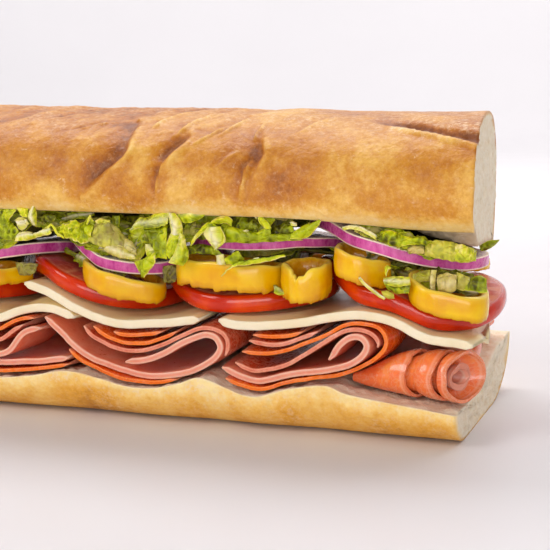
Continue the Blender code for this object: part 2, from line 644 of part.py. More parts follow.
def leaf(points, width, thick, material, seed, across=2, step=5.0):
    """A thin wavy strip along the points, lying across them, wider in the middle."""
    path = smooth_path(points, step)
    one, other = [], []
    for i, middle in enumerate(path):
        t = i / (len(path) - 1)
        run = path[min(i + 1, len(path) - 1)] - path[max(i - 1, 0)]
        side = Vector((1.0, 0.0, 0.0)) if abs(run.x) < abs(run.y) + abs(run.z) else Vector((0, 1, 0))
        normal = side.cross(run).normalized()
        half = width / 2 * (0.6 + 0.4 * math.sin(math.pi * (0.1 + 0.8 * t)))
        near, far = [], []
        for k in range(across + 1):
            s = 2 * k / across - 1
            frill = 0.7 * s * s * math.sin(4.0 * t + 2.5 * s + seed)
            p = middle + side * half * s + normal * frill
            near.append(tuple(p + normal * thick / 2))
            far.append(tuple(p - normal * thick / 2))
        one.append(near)
        other.append(far)
    verts, faces = sheet(one, other)
    return finish_mesh("leaf", verts, faces, material)


def fuse(core, pieces):
    """Join the pieces to the core as one body."""
    group = bpy.data.collections.new(core.name + "_pieces")
    bpy.context.scene.collection.children.link(group)
    for piece in pieces:
        group.objects.link(piece)
    union = core.modifiers.new("union", "BOOLEAN")
    union.operation = "UNION"
    union.operand_type = "COLLECTION"
    union.collection = group
    union.solver = "EXACT"
    fused = bpy.data.meshes.new_from_object(core.evaluated_get(bpy.context.evaluated_depsgraph_get()))
    core.modifiers.remove(union)
    core.data = fused
    for piece in pieces:
        bpy.data.objects.remove(piece)
    bpy.data.collections.remove(group)
    return core


# Leaves that hang out over the onions: place along the loaf, width, and how low they reach
HANGING_FRONT = [(-58, 9, 51.0), (-43, 12, 51.5), (-27, 8, 50.5), (-13, 9, 50.0), (4, 14, 44.5),
                 (19.5, 11, 49.5), (30.5, 8, 54.5)]
HANGING_BACK = [(-52, 10, 48.5), (-24, 9, 46.5), (2, 12, 47.5), (27, 9, 52.0)]
HANG_Y = 41.2             # how far out they hang


# The upper lettuce lies in two heaps, (start, stop), parted by a high onion slice
UPPER_HEAPS = [(-84, 35), (72, 91)]
LOWER_HEAPS = [(-80, -52), (9, 77)]
SPRIG = [(84, -12, 51.8), (92, -14, 51.6), (98.5, -15, 52.2)]


def upper_heap(name, start, stop, rng, material):
    """A heap between onions and bread, with leaves hanging out at both sides."""
    core = core_solid(name, start, stop, 33.5, lambda x: onion_over(x) + 0.7,
                      lambda x: height(TOP_CRUMB, x) - 0.6, material, (stop - start) // 6 + 1)
    pieces = []
    for side, leaves in ((-1, HANGING_FRONT), (1, HANGING_BACK)):
        leaves = [spec for spec in leaves if start < spec[0] < stop]
        for x, width, low in leaves:
            root = (onion_over(x) + height(TOP_CRUMB, x)) / 2
            out = side * (HANG_Y if side < 0 else HANG_Y - 2.0)
            bend = 0.6 if side < 0 else -0.1
            points = [(x, side * 25.0, root), (x, side * 36.5, root + bend),
                      (x + 0.6, out, root - 2.5), (x + 1.2, out, low)]
            pieces.append(leaf(points, width, 1.0, material, x))
        taken = [(x - width / 2 - 3, x + width / 2 + 3) for x, width, low in leaves]
        x = start + 6.0
        while x < stop - 4.0:
            low, high = onion_over(x) + 1.2, height(TOP_CRUMB, x) - 1.4
            if high - low > 1.0 and not any(a < x < b for a, b in taken):
                z = lerp(low, high, rng.uniform(0.35, 0.7))
                tip = (x + rng.uniform(-4, 4), side * (37.5 if side < 0 else 35.5), z)
                pieces.append(leaf([(x, side * 25.0, z), tip], rng.uniform(3.0, 5.5), 1.0,
                                   material, x))
            x += rng.uniform(8.5, 12.0)
    if stop > SPRIG[0][0]:
        pieces.append(leaf(SPRIG, 4.5, 0.9, material, 2.0))
    return fuse(core, pieces)


def make_lettuce(material):
    rng = random.Random(5)
    for k, (start, stop) in enumerate(UPPER_HEAPS):
        upper_heap(f"lettuce_upper_{k + 1}", start, stop, rng, material)
    for k, (start, stop) in enumerate(LOWER_HEAPS):
        core_solid(f"lettuce_lower_{k + 1}", start, stop, 14.0, lambda x: pile_top(x) + 0.6,
                   lambda x: onion_under(x) - 0.9, material, max((stop - start) // 4, 5))


def main():
    for obj in list(bpy.data.objects):
        bpy.data.objects.remove(obj)
    bread = plain_material("bread", (0.60, 0.30, 0.10), 0.6)
    cheese = plain_material("cheese", (0.90, 0.80, 0.60), 0.45)
    tomato = plain_material("tomato", (0.55, 0.03, 0.01), 0.2)
    onion = plain_material("onion", (0.50, 0.10, 0.30), 0.3)
    pepper = plain_material("pepper", (0.90, 0.60, 0.01), 0.25)
    ham = plain_material("ham", (0.75, 0.35, 0.27), 0.4)
    salami = plain_material("salami", (0.50, 0.16, 0.12), 0.4)
    cured = plain_material("cured_meat", (0.75, 0.16, 0.02), 0.35)
    lettuce = plain_material("lettuce", (0.40, 0.50, 0.05), 0.4)
    make_bottom_bread(bread)
    make_top_bread(bread)
    for name, (profile, raised, droop) in CHEESE_SLICES.items():
        slice_square(name, profile, CHEESE, cheese, raised, droop)
    for k, (mid_x, half_x, profile) in enumerate(TOMATO_SLICES):
        slice_disc(f"tomato_{k + 1}", mid_x, half_x, 36.5, profile, TOMATO, tomato, seed=k,
                   tilt=end_tilt if k == len(TOMATO_SLICES) - 1 else None)
    for k, (mid_x, half_x, thick, profile) in enumerate(ONION_SLICES):
        slice_disc(f"onion_{k + 1}", mid_x, half_x, 36.0, profile, thick, onion, seed=k + 5)
    for group, thick, material in ((FOLDED_HAM, HAM, ham), (FOLDED_SALAMI, SALAMI, salami),
                                   (FOLDED_CURED, CURED, cured)):
        for k, (name, path) in enumerate(group.items()):
            folded_slice(name, path, thick, material, seed=k)
    for k, (name, (path, thick, kind)) in enumerate(BEHIND_ROLL.items()):
        folded_slice(name, path, thick, {"ham": ham, "cured": cured}[kind], ROLL_BACK_Y, seed=k)
    for name, (profile, thick, cut_back) in ROLL_SLICES.items():
        roll_slice(name, profile, thick, cut_back, cured)
    roll_slice("roll_ham", ROLL_HEART, HAM, 3.0, ham, ROLL_AXIS_Y - HEART_FORWARD)
    for k, spec in enumerate(PEPPER_RINGS):
        pepper_ring(f"pepper_{k + 1}", spec, pepper, seed=k * 1.7)
    make_lettuce(lettuce)


main()
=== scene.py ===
"""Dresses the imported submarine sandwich: detailed bread, fillings and their materials.

Lengths are in millimetres, as in the part's source, and the meshes are made in metres.
"""
import math

import bpy
import numpy as np
from mathutils import Matrix, Vector


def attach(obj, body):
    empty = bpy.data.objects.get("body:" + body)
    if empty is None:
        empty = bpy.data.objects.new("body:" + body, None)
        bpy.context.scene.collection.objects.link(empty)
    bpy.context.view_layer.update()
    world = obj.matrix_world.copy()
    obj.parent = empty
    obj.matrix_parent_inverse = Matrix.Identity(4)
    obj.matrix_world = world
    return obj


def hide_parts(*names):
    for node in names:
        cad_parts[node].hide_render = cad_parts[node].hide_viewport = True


MM = 0.001
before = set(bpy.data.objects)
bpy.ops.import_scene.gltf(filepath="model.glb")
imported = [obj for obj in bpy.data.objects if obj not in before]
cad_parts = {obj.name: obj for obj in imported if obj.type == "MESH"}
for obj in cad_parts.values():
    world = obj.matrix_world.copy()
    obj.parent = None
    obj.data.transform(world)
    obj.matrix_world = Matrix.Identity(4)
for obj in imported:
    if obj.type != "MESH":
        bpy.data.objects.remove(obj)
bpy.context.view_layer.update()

# The loaf and its layers, as in the part's source
HEEL_X, CUT_X = -98.5, 93.0                   # tip of the heel, cut end of the bottom half
HALF_DEPTH, LOAF_TOP = 42.3, 88.0
TOP_CUT_FRONT_X, TOP_CUT_SKEW = 96.8, 0.11    # cut end of the top half, and its slant
HEEL_LENGTH, HEEL_CURVE, HEEL_LIMIT = 35.0, 2.3, 0.985    # the limit keeps its tip blunt
HAM, SALAMI, CURED, CHEESE, TOMATO, ONION, THIN_ONION = 1.8, 1.2, 1.1, 2.5, 5.0, 3.5, 2.8
FRONT_Y, BACK_Y = -38.5, 38.0

# How the filling settles towards the back, where the loaf stays nearly shut
FILL_LOW, FILL_HIGH = 12.0, 60.0              # heights of the bottom and the top crumb
BACK_LIFT, BACK_FALL = 3.0, 7.0               # their rise and fall at the back
LEAN_START, LEAN_LENGTH, SWAY = -30.0, 62.0, 5.0
END_START, END_LENGTH, END_LIFT = 60.0, 33.0, 3.5
WAVE_DEEP, WAVE_LONG = 38.0, 17.0             # spans of the soft waves across and along it
ROLLING, DRIFT_WAVE = 0.6, 1.2                # how far they lift it and push it along
END_TILT = 3.5                                # rise of the last tomato slice to the back
SETTLING_ROUNDS = 5                           # enough for crumb_level to come to rest

# Heights of the bottom crumb, of the top crust's lower edge and of the top crumb, (x, z)
BOTTOM_CRUMB = [(-98, 11.5), (-84, 10.4), (-57, 10.5), (-44, 10.5), (-33, 11.8),
                (-21, 14.0), (-10, 12.5), (-2, 10.9), (6, 11.0), (14, 12.9), (20, 15.0),
                (28, 12.8), (33, 11.1), (38, 11.0), (46, 13.6), (57, 15.4), (63, 13.6),
                (77, 11.8), (93, 9.9)]
TOP_EDGE = [(-97, 61.5), (-44, 60.8), (3, 61.0), (42, 61.3), (62, 60.2), (76, 59.0), (97, 58.7)]
TOP_CRUMB = [(-97, 60.5), (40, 60.6), (58, 60.5), (69, 58.2), (76, 55.6), (84, 53.6), (97, 52.2)]


# Layout


def ease(t):
    """A smooth step from 0 to 1."""
    t = np.clip(t, 0.0, 1.0)
    return t * t * (3.0 - 2.0 * t)


def lerp(a, b, t):
    return a + (b - a) * t


def height(profile, x):
    """Height of a smooth line through the profile's (x, z) points."""
    xs, zs = np.array(profile, float).T
    slopes = np.zeros(len(xs))
    last = len(xs) - 1
    for k in range(len(xs)):
        a, b = max(k - 1, 0), min(k + 1, last)
        slopes[k] = (zs[b] - zs[a]) / (xs[b] - xs[a])
    x = np.clip(x, xs[0], xs[-1])
    i = np.clip(np.searchsorted(xs, x, side="right") - 1, 0, last - 1)
    w = xs[i + 1] - xs[i]
    t = (x - xs[i]) / w
    return ((2 * t**3 - 3 * t**2 + 1) * zs[i] + (t**3 - 2 * t**2 + t) * w * slopes[i]
            + (3 * t**2 - 2 * t**3) * zs[i + 1] + (t**3 - t**2) * w * slopes[i + 1])


def heel(x):
    """Width of the loaf at x, as a share of its full width."""
    t = np.clip((HEEL_X + HEEL_LENGTH - x) / HEEL_LENGTH, 0.0, HEEL_LIMIT)
    return (1.0 - t**HEEL_CURVE) ** (1 / HEEL_CURVE)


def settled(y):
    """How far the filling has settled at y: 0 at the front and 1 at the back."""
    return ease((y - LEAN_START) / LEAN_LENGTH)


def wave(y):
    """The filling's soft waves from front to back."""
    return np.sin(math.pi * (y - FRONT_Y) / WAVE_DEEP)


def drift(y):
    """How far the filling leans along the loaf at y."""
    return -SWAY * settled(y) + DRIFT_WAVE * wave(y)


def settle(points):
    """Where points of the evenly laid filling end up in the finished sandwich."""
    x, y, z = points[..., 0], points[..., 1], points[..., 2]
    rise = BACK_LIFT + END_LIFT * ease((x - END_START) / END_LENGTH)
    sink = (rise + BACK_FALL) / (FILL_HIGH - FILL_LOW)
    lift = settled(y) * (rise - (z - FILL_LOW) * sink)
    lift = lift + ROLLING * wave(y) * np.sin(x / WAVE_LONG)
    return np.stack([x + drift(y), y * heel(x), z + lift], axis=-1)


def crumb_level(profile, x, y):
    """Height at x and y of a crumb whose height in the evenly laid loaf is the profile."""
    laid_x, laid_y = x, y
    for _ in range(SETTLING_ROUNDS):
        laid_y = y / heel(laid_x)
        laid_x = x - drift(laid_y)
    laid = np.stack(np.broadcast_arrays(laid_x, laid_y, height(profile, laid_x)), axis=-1)
    return settle(laid)[..., 2]


# Noise and meshes

TABLE_SIZE = 8192                             # a power of two
TABLE_SEED = 11
TABLE = np.random.default_rng(TABLE_SEED).random(TABLE_SIZE) * 2.0 - 1.0
STRIDE_X, STRIDE_Y, STRIDE_Z, STRIDE_SEED = 7919, 104729, 1299709, 611953
CURVE_STEPS = 16                              # places between two points of a smooth path


def noise(x, y, z=0.0, size=1.0, seed=0):
    """Smooth noise from -1 to 1, with lumps of about the given size."""
    x, y, z = np.broadcast_arrays(x / size, y / size, z / size)
    xi, yi, zi = (np.floor(v).astype(np.int64) for v in (x, y, z))
    fx, fy, fz = (v - np.floor(v) for v in (x, y, z))
    fx, fy, fz = (f * f * (3 - 2 * f) for f in (fx, fy, fz))
    total = 0.0
    for a in (0, 1):
        for b in (0, 1):
            for c in (0, 1):
                key = ((xi + a) * STRIDE_X + (yi + b) * STRIDE_Y + (zi + c) * STRIDE_Z
                       + seed * STRIDE_SEED)
                weight = (np.where(a, fx, 1 - fx) * np.where(b, fy, 1 - fy)
                          * np.where(c, fz, 1 - fz))
                total = total + weight * TABLE[(key ^ (key >> 7)) & (TABLE_SIZE - 1)]
    return total


def fractal(x, y, z=0.0, size=1.0, seed=0, octaves=3):
    """Noise with finer and weaker noise on top."""
    return sum(noise(x, y, z, size / 2**k, seed + k) / 2**k for k in range(octaves))


def smooth_path(points, step):
    """Points about a step apart on a smooth curve through the given ones."""
    pts = np.array(points, float)
    last = len(pts) - 1
    curve = []
    for i in range(last):
        p0, p1, p2, p3 = pts[max(i - 1, 0)], pts[i], pts[i + 1], pts[min(i + 2, last)]
        for t in np.arange(CURVE_STEPS) / CURVE_STEPS:
            curve.append(0.5 * (2 * p1 + (p2 - p0) * t + (2 * p0 - 5 * p1 + 4 * p2 - p3) * t**2
                                + (3 * p1 - p0 - 3 * p2 + p3) * t**3))
    curve = np.array(curve + [pts[-1]])
    reach = np.concatenate([[0], np.cumsum(np.linalg.norm(np.diff(curve, axis=0), axis=1))])
    goal = np.linspace(0, reach[-1], max(3, round(reach[-1] / step) + 1))
    return np.stack([np.interp(goal, reach, curve[:, k]) for k in range(pts.shape[1])], axis=-1)


def grid_faces(rows, columns, wrap_rows=False, wrap_columns=False):
    """Quads over a grid of points numbered row by row."""
    i = np.arange(rows if wrap_rows else rows - 1)[:, None]
    j = np.arange(columns if wrap_columns else columns - 1)[None, :]
    a, b = i * columns + j, i * columns + (j + 1) % columns
    c, d = (i + 1) % rows * columns + (j + 1) % columns, (i + 1) % rows * columns + j
    return np.stack([a, b, c, d], axis=-1).reshape(-1, 4)


def make_piece(name, nodes, points, faces, masks, material, sharp=None):
    """A piece of the sandwich, from points in millimetres, that stands for these nodes."""
    mesh = bpy.data.meshes.new(name)
    faces = faces.tolist() if isinstance(faces, np.ndarray) else faces
    mesh.from_pydata((points.reshape(-1, 3) * MM).tolist(), [], faces)
    mesh.shade_smooth()
    if sharp:
        mesh.set_sharp_from_angle(angle=math.radians(sharp))
    layer = mesh.color_attributes.new("mask", "FLOAT_COLOR", "POINT")
    data = np.ones((len(mesh.vertices), 4), np.float32)
    data[:, :3] = masks.reshape(-1, 3)
    layer.data.foreach_set("color", data.ravel())
    mesh.materials.append(material)
    obj = bpy.data.objects.new(name, mesh)
    bpy.context.scene.collection.objects.link(obj)
    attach(obj, "root")
    if nodes:
        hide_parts(*nodes)


def fanned(points, faces, masks, loops):
    """Closes each loop of points towards its middle: (numbers of its points, flipped)."""
    points, masks, faces = points.reshape(-1, 3), masks.reshape(-1, 3), faces.tolist()
    for loop, flip in loops:
        hub = len(points)
        points = np.vstack([points, points[loop].mean(axis=0)])
        masks = np.vstack([masks, masks[loop].mean(axis=0)])
        faces += [(b, a, hub) if flip else (a, b, hub) for a, b in zip(loop, loop[1:] + loop[:1])]
    return points, faces, masks


def capped(rings, masks):
    """Points, faces and masks of a closed skin over rings, its ends drawn to a middle."""
    rows, count = rings.shape[:2]
    last = (rows - 1) * count
    loops = [(list(range(count)), True), (list(range(last, last + count)), False)]
    return fanned(rings, grid_faces(rows, count, wrap_columns=True), masks, loops)


# Materials


class Shader:
    """A material of nodes, with short calls for the nodes that it needs."""

    def __init__(self, name, **sockets):
        self.material = bpy.data.materials.new(name)
        self.material.use_nodes = True
        self.tree = self.material.node_tree
        self.bsdf = self.tree.nodes["Principled BSDF"]
        for key, value in sockets.items():
            self.bsdf.inputs[key.replace("_", " ")].default_value = value
        self.place = self.node("ShaderNodeTexCoord").outputs["Object"]
        self.mask = None

    def node(self, kind, **values):
        made = self.tree.nodes.new(kind)
        for key, value in values.items():
            setattr(made, key, value)
        return made

    def feed(self, socket, value):
        if isinstance(value, bpy.types.NodeSocket):
            self.tree.links.new(value, socket)
        else:
            socket.default_value = value

    def channel(self, index):
        """One channel of the mesh's own mask."""
        if self.mask is None:
            source = self.node("ShaderNodeAttribute", attribute_name="mask")
            split = self.node("ShaderNodeSeparateColor")
            self.tree.links.new(source.outputs["Color"], split.inputs[0])
            self.mask = split.outputs
        return self.mask[index]

    def texture(self, kind, stretch, numbers, **values):
        """A texture node in the object's own space, stretched along its axes."""
        where = self.node("ShaderNodeMapping")
        where.inputs["Scale"].default_value = stretch
        self.tree.links.new(self.place, where.inputs["Vector"])
        made = self.node(kind, **values)
        for key, number in numbers.items():
            made.inputs[key].default_value = number
        self.tree.links.new(where.outputs[0], made.inputs["Vector"])
        return made

    def noise(self, scale, detail=3.0, rough=0.55, distort=0.0, stretch=(1, 1, 1)):
        numbers = {"Scale": scale, "Detail": detail, "Roughness": rough, "Distortion": distort}
        return self.texture("ShaderNodeTexNoise", stretch, numbers).outputs[0]

    def cells(self, scale, feature="F1", stretch=(1, 1, 1)):
        made = self.texture("ShaderNodeTexVoronoi", stretch, {"Scale": scale}, feature=feature)
        return made.outputs["Distance"]

    def math(self, operation, a, b=0.0):
        made = self.node("ShaderNodeMath", operation=operation)
        self.feed(made.inputs[0], a)
        self.feed(made.inputs[1], b)
        return made.outputs[0]

    def weighed(self, a, share_a, b, share_b):
        """Two values added up, each times its share."""
        return self.math("ADD", self.math("MULTIPLY", a, share_a),
                         self.math("MULTIPLY", b, share_b))

    def remap(self, value, low, high, to_low=0.0, to_high=1.0):
        made = self.node("ShaderNodeMapRange", clamp=True)
        for key, v in (("Value", value), ("From Min", low), ("From Max", high),
                       ("To Min", to_low), ("To Max", to_high)):
            self.feed(made.inputs[key], v)
        return made.outputs[0]

    def ramp(self, value, stops):
        made = self.node("ShaderNodeValToRGB")
        points = made.color_ramp.elements
        while len(points) < len(stops):
            points.new(0.5)
        for point, (at, colour) in zip(points, stops):
            point.position = at
            point.color = (*srgb(colour), 1.0)
        self.tree.links.new(value, made.inputs[0])
        return made.outputs[0]

    def mix(self, share, a, b):
        made = self.node("ShaderNodeMix", data_type="RGBA")
        self.feed(made.inputs[0], share)
        self.feed(made.inputs[6], a)
        self.feed(made.inputs[7], b)
        return made.outputs[2]

    def bump(self, value, distance, strength):
        """Relief of the given depth in millimetres."""
        made = self.node("ShaderNodeBump")
        made.inputs["Strength"].default_value = strength
        made.inputs["Distance"].default_value = distance * MM
        self.tree.links.new(value, made.inputs["Height"])
        return made.outputs[0]

    def finish(self, colour, rough, normal=None):
        self.feed(self.bsdf.inputs["Base Color"], colour)
        self.feed(self.bsdf.inputs["Roughness"], rough)
        if normal is not None:
            self.feed(self.bsdf.inputs["Normal"], normal)
        return self.material


def srgb(colour):
    """A colour of 0 to 255 values as linear light."""
    return tuple((v / 255 / 12.92) if v / 255 <= 0.04045 else ((v / 255 + 0.055) / 1.055) ** 2.4
                 for v in colour)


def tint(colour):
    """A colour of 0 to 255 values for a socket."""
    return (*srgb(colour), 1.0)


def soft(radius, weight):
    """Sockets for light that goes a little way into a food, radius in millimetres."""
    return {"Subsurface_Weight": weight, "Subsurface_Radius": tuple(r * MM for r in radius),
            "Subsurface_Scale": 1.0}


def bread_material(name, stops, gloss):
    """Baked crust where the mask's red is 1, and porous crumb where it is 0.

    Green is how strongly the crust is baked, with painted shade in the top crust's creases and a
    painted highlight where it rises; on the crumb it is a brown stain from the filling, partly
    painted shade. Blue is how floury it is, and along the top of the top crust a painted sheen.
    """
    s = Shader(name, Specular_IOR_Level=0.42, **soft((2.0, 1.2, 0.6), 0.05))
    patches = s.remap(s.noise(70, 5, 0.65, 0.5), 0.3, 0.7, -0.13, 0.13)
    speckle = s.remap(s.noise(520, 4, 0.75), 0.25, 0.75, -0.15, 0.15)
    # Green: baking, with painted shade in the top crust's creases and a painted highlight where it
    # rises
    bake_and_shade = s.math("ADD", s.channel(1), s.math("ADD", patches, speckle))
    crust = s.ramp(bake_and_shade, stops)
    # Blue lightens the crust: real flour and blisters, and along the top crust a painted sheen
    flour_and_sheen = s.remap(s.noise(700, 3, 0.8, 0.4), 0.48, 0.66)
    flour_and_sheen = s.math("MULTIPLY", flour_and_sheen, s.channel(2))
    crust = s.mix(flour_and_sheen, crust, tint((248, 218, 176)))
    pores = s.cells(380, stretch=(0.8, 1.0, 1.0))
    pores_small = s.noise(1500, 3, 0.7)
    crumb_tone = s.math("ADD", s.remap(pores, 0.05, 0.6, 0.3, 0.75),
                        s.remap(pores_small, 0.3, 0.7, -0.2, 0.2))
    crumb = s.ramp(crumb_tone, [(0.0, (222, 198, 160)), (0.3, (241, 224, 192)),
                                (0.7, (250, 238, 212)), (1.0, (254, 247, 230))])
    # Green on the crumb is a brown stain from the filling, partly painted shade between bread and
    # filling
    stain_and_shade = s.math("MULTIPLY", s.channel(1), 0.9)
    crumb = s.mix(stain_and_shade, crumb, tint((190, 138, 80)))
    colour = s.mix(s.channel(0), crumb, crust)
    rough = s.remap(s.channel(0), 0.0, 1.0, 0.85, gloss)
    rough = s.math("ADD", rough, s.remap(s.noise(400, 3), 0.3, 0.7, -0.08, 0.1))
    skin = s.weighed(s.noise(600, 4, 0.7), 0.5, s.noise(180, 4, 0.65, 0.7), 0.8)
    open_crumb = s.weighed(pores, 0.6, pores_small, 0.6)
    relief = s.node("ShaderNodeMix", data_type="FLOAT")
    s.feed(relief.inputs[0], s.channel(0))
    s.feed(relief.inputs[2], open_crumb)
    s.feed(relief.inputs[3], skin)
    return s.finish(colour, rough, s.bump(relief.outputs[0], 0.8, 0.7))


def tomato_material():
    """Glossy skin where the mask's red is 1, flesh elsewhere, jelly where blue is 1.

    Green is the thin bright line where skin meets the cut face.
    """
    s = Shader("tomato", Specular_IOR_Level=0.4, Coat_Weight=0.1, Coat_Roughness=0.05,
               **soft((3.0, 0.9, 0.3), 0.15))
    blotch = s.noise(110, 3, 0.5)
    skin = s.ramp(blotch, [(0.3, (184, 30, 0)), (0.5, (206, 44, 1)), (0.72, (230, 74, 3))])
    fibre = s.noise(700, 3, 0.6)
    flesh = s.ramp(fibre, [(0.25, (200, 52, 40)), (0.5, (220, 84, 66)), (0.75, (238, 150, 128))])
    jelly = s.ramp(fibre, [(0.2, (196, 84, 20)), (0.6, (214, 120, 40)), (0.8, (226, 176, 92))])
    colour = s.mix(s.channel(2), flesh, jelly)
    colour = s.mix(s.channel(0), colour, skin)
    colour = s.mix(s.channel(1), colour, tint((253, 168, 120)))
    rough = s.remap(s.channel(0), 0.0, 1.0, 0.3, 0.14)
    relief = s.math("MULTIPLY", s.noise(450, 3, 0.6), s.math("SUBTRACT", 1.1, s.channel(0)))
    return s.finish(colour, rough, s.bump(relief, 0.3, 0.5))


def onion_material():
    """Purple skin where the mask's red is 1, and white flesh elsewhere.

    Green is the pale rim where both meet, and blue the purple lines between the rings.
    """
    s = Shader("onion", Specular_IOR_Level=0.4, Coat_Weight=0.1, Coat_Roughness=0.12,
               **soft((2.0, 0.8, 1.4), 0.15))
    streak = s.noise(420, 4, 0.65, 0.2, (1.0, 0.5, 0.35))
    skin = s.ramp(streak, [(0.25, (176, 40, 118)), (0.45, (206, 70, 150)), (0.62, (224, 104, 172)),
                           (0.8, (240, 168, 208))])
    fibre = s.noise(900, 3, 0.6)
    white = s.ramp(fibre, [(0.3, (232, 206, 212)), (0.6, (246, 236, 234))])
    lines = s.mix(s.channel(2), white, tint((190, 90, 150)))
    colour = s.mix(s.channel(0), lines, skin)
    colour = s.mix(s.channel(1), colour, tint((255, 230, 196)))
    return s.finish(colour, s.remap(fibre, 0.2, 0.8, 0.2, 0.36), s.bump(fibre, 0.1, 0.5))


def pepper_material():
    """Waxy yellow skin where the mask's red is 1, duller wet flesh elsewhere.

    Green darkens the outside of its wall towards the bottom, and its inner wall with painted shade
    in the hollow along with its wet membrane; blue is the bright lip of its cut edge.
    """
    s = Shader("pepper", Specular_IOR_Level=0.3, Coat_Weight=0.2, Coat_Roughness=0.05,
               **soft((2.5, 1.6, 0.2), 0.12))
    blotch = s.noise(120, 3, 0.55, 0.3)
    skin = s.ramp(blotch, [(0.25, (228, 152, 0)), (0.5, (240, 182, 0)), (0.75, (250, 208, 0))])
    fibre = s.noise(600, 3, 0.6)
    flesh = s.ramp(fibre, [(0.25, (196, 134, 4)), (0.5, (222, 168, 16)), (0.8, (240, 204, 70))])
    colour = s.mix(s.channel(0), flesh, skin)
    # Darker towards the bottom of the outer wall, and on the inner wall painted shade with its wet
    # membrane
    colour = s.mix(s.channel(1), colour, tint((176, 92, 0)))
    colour = s.mix(s.channel(2), colour, tint((255, 232, 96)))
    relief = s.weighed(blotch, 0.8, fibre, 0.25)
    return s.finish(colour, s.remap(fibre, 0.2, 0.8, 0.14, 0.28), s.bump(relief, 0.4, 0.4))


def cheese_material():
    """Pale cheese; the mask's red is its cut edge."""
    s = Shader("cheese", Specular_IOR_Level=0.3, Coat_Weight=0.05, Coat_Roughness=0.25,
               **soft((3.0, 2.2, 1.2), 0.2))
    cloud = s.noise(90, 3, 0.5)
    fine = s.noise(1300, 3, 0.6)
    tone = s.weighed(cloud, 0.8, fine, 0.2)
    face = s.ramp(tone, [(0.3, (255, 222, 152)), (0.55, (255, 232, 174)), (0.8, (255, 241, 198))])
    edge = s.ramp(tone, [(0.3, (240, 220, 180)), (0.7, (247, 233, 204))])
    colour = s.mix(s.channel(0), face, edge)
    relief = s.weighed(s.noise(260, 3, 0.5), 0.8, fine, 0.25)
    return s.finish(colour, s.remap(cloud, 0.3, 0.7, 0.3, 0.45), s.bump(relief, 0.25, 0.4))


def meat_material(name, face_stops, edge_stops, outline, marbling, gloss, relief_mm=0.2,
                  glow=0.1, wet=0.15):
    """Sliced meat: the mask's red is its cut edge, blue that edge's corners, green its rind.

    marbling is how strongly pale veins show, gloss the roughness, glow how much light goes
    into it, and wet how much of a wet film lies on it.
    """
    s = Shader(name, Specular_IOR_Level=0.3, Coat_Weight=wet, Coat_Roughness=0.12,
               **soft((3.5, 1.2, 0.5), glow))
    cloud = s.noise(140, 4, 0.6, 0.6)
    fine = s.noise(650, 4, 0.7)
    tone = s.weighed(cloud, 0.65, fine, 0.35)
    colour = s.mix(s.channel(0), s.ramp(tone, face_stops), s.ramp(tone, edge_stops))
    veins = s.remap(s.math("ABSOLUTE", s.math("SUBTRACT", s.noise(170, 5, 0.7, 1.6), 0.5)),
                    0.0, 0.035, marbling, 0.0)
    colour = s.mix(veins, colour, tint((244, 196, 164)))
    colour = s.mix(s.math("MULTIPLY", s.channel(2), 0.42), colour, tint(outline))
    colour = s.mix(s.channel(1), colour, tint((246, 206, 180)))
    relief = s.weighed(cloud, 0.7, fine, 0.4)
    rough = s.remap(fine, 0.25, 0.75, gloss - 0.06, gloss + 0.1)
    return s.finish(colour, rough, s.bump(relief, relief_mm, 0.5))


def lettuce_material(name, dark):
    """Leaf: the mask's red is its pale rib, green a wilted tan, blue how pale it is, partly its own
    tone and partly painted light and shade.
    """
    s = Shader(name, Specular_IOR_Level=0.24, Coat_Weight=0.08, Coat_Roughness=0.18,
               **soft((1.0, 1.4, 0.2), 0.2))
    blister = s.cells(330, "SMOOTH_F1")
    vein = s.remap(s.cells(300, "DISTANCE_TO_EDGE"), 0.0, 0.14, 1.0, 0.0)
    tone = s.math("ADD", s.channel(2), s.remap(s.noise(240, 3), 0.3, 0.7, -0.13, 0.13))
    blade = s.ramp(tone, [(0.0, (44, 40, 2)), (0.2, (82, 80, 2)), (0.42, (132, 142, 2)),
                          (0.62, (182, 194, 4)), (0.82, (222, 220, 36)), (1.0, (246, 234, 138))])
    blade = s.mix(s.math("MULTIPLY", vein, 0.22), blade, tint((216, 216, 60)))
    tan = s.ramp(s.noise(380, 3, 0.6, 0.0, (0.5, 1, 1)),
                 [(0.3, (176, 144, 70)), (0.7, (224, 200, 130))])
    blade = s.mix(s.channel(1), blade, tan)
    rib = s.ramp(s.noise(500, 3, 0.6, 0.0, (0.4, 1, 1)),
                 [(0.3, (232, 220, 168)), (0.7, (247, 241, 216))])
    colour = s.mix(s.channel(0), blade, rib)
    # The shaded copy is painted dark, as the shade deep inside the heaps
    if dark:
        colour = s.mix(0.6, colour, tint((58, 46, 8)))
    relief = s.math("ADD", blister, s.math("MULTIPLY", vein, -0.4))
    return s.finish(colour, s.remap(s.noise(300, 2), 0.3, 0.7, 0.26, 0.44),
                    s.bump(relief, 0.9, 0.8))


# Bread

ARC_LENGTH = 130.0        # rough length of the top crust from edge to edge
EQUATOR = 66.0            # height at which the top half is widest
FRONT_LOW, BACK_LOW = 13.0, 31.0              # how steeply its crust turns in below that
SQUARENESS = 2.35         # 2 would make its outline round
TOP_STEP, CRUST_COLUMNS, CRUMB_COLUMNS = 0.75, 176, 54
TOP_BED, BOTTOM_BED = (36.5, -37.0), (37.0, -38.5)       # y of the crumb's back and front
BACK_RIM = 38.5           # y where the crust ends at the back
TOP_HUB, BOTTOM_HUB = (-1.0, 71.0), (-4.0, 4.6)          # y and z in the middle of a cut end
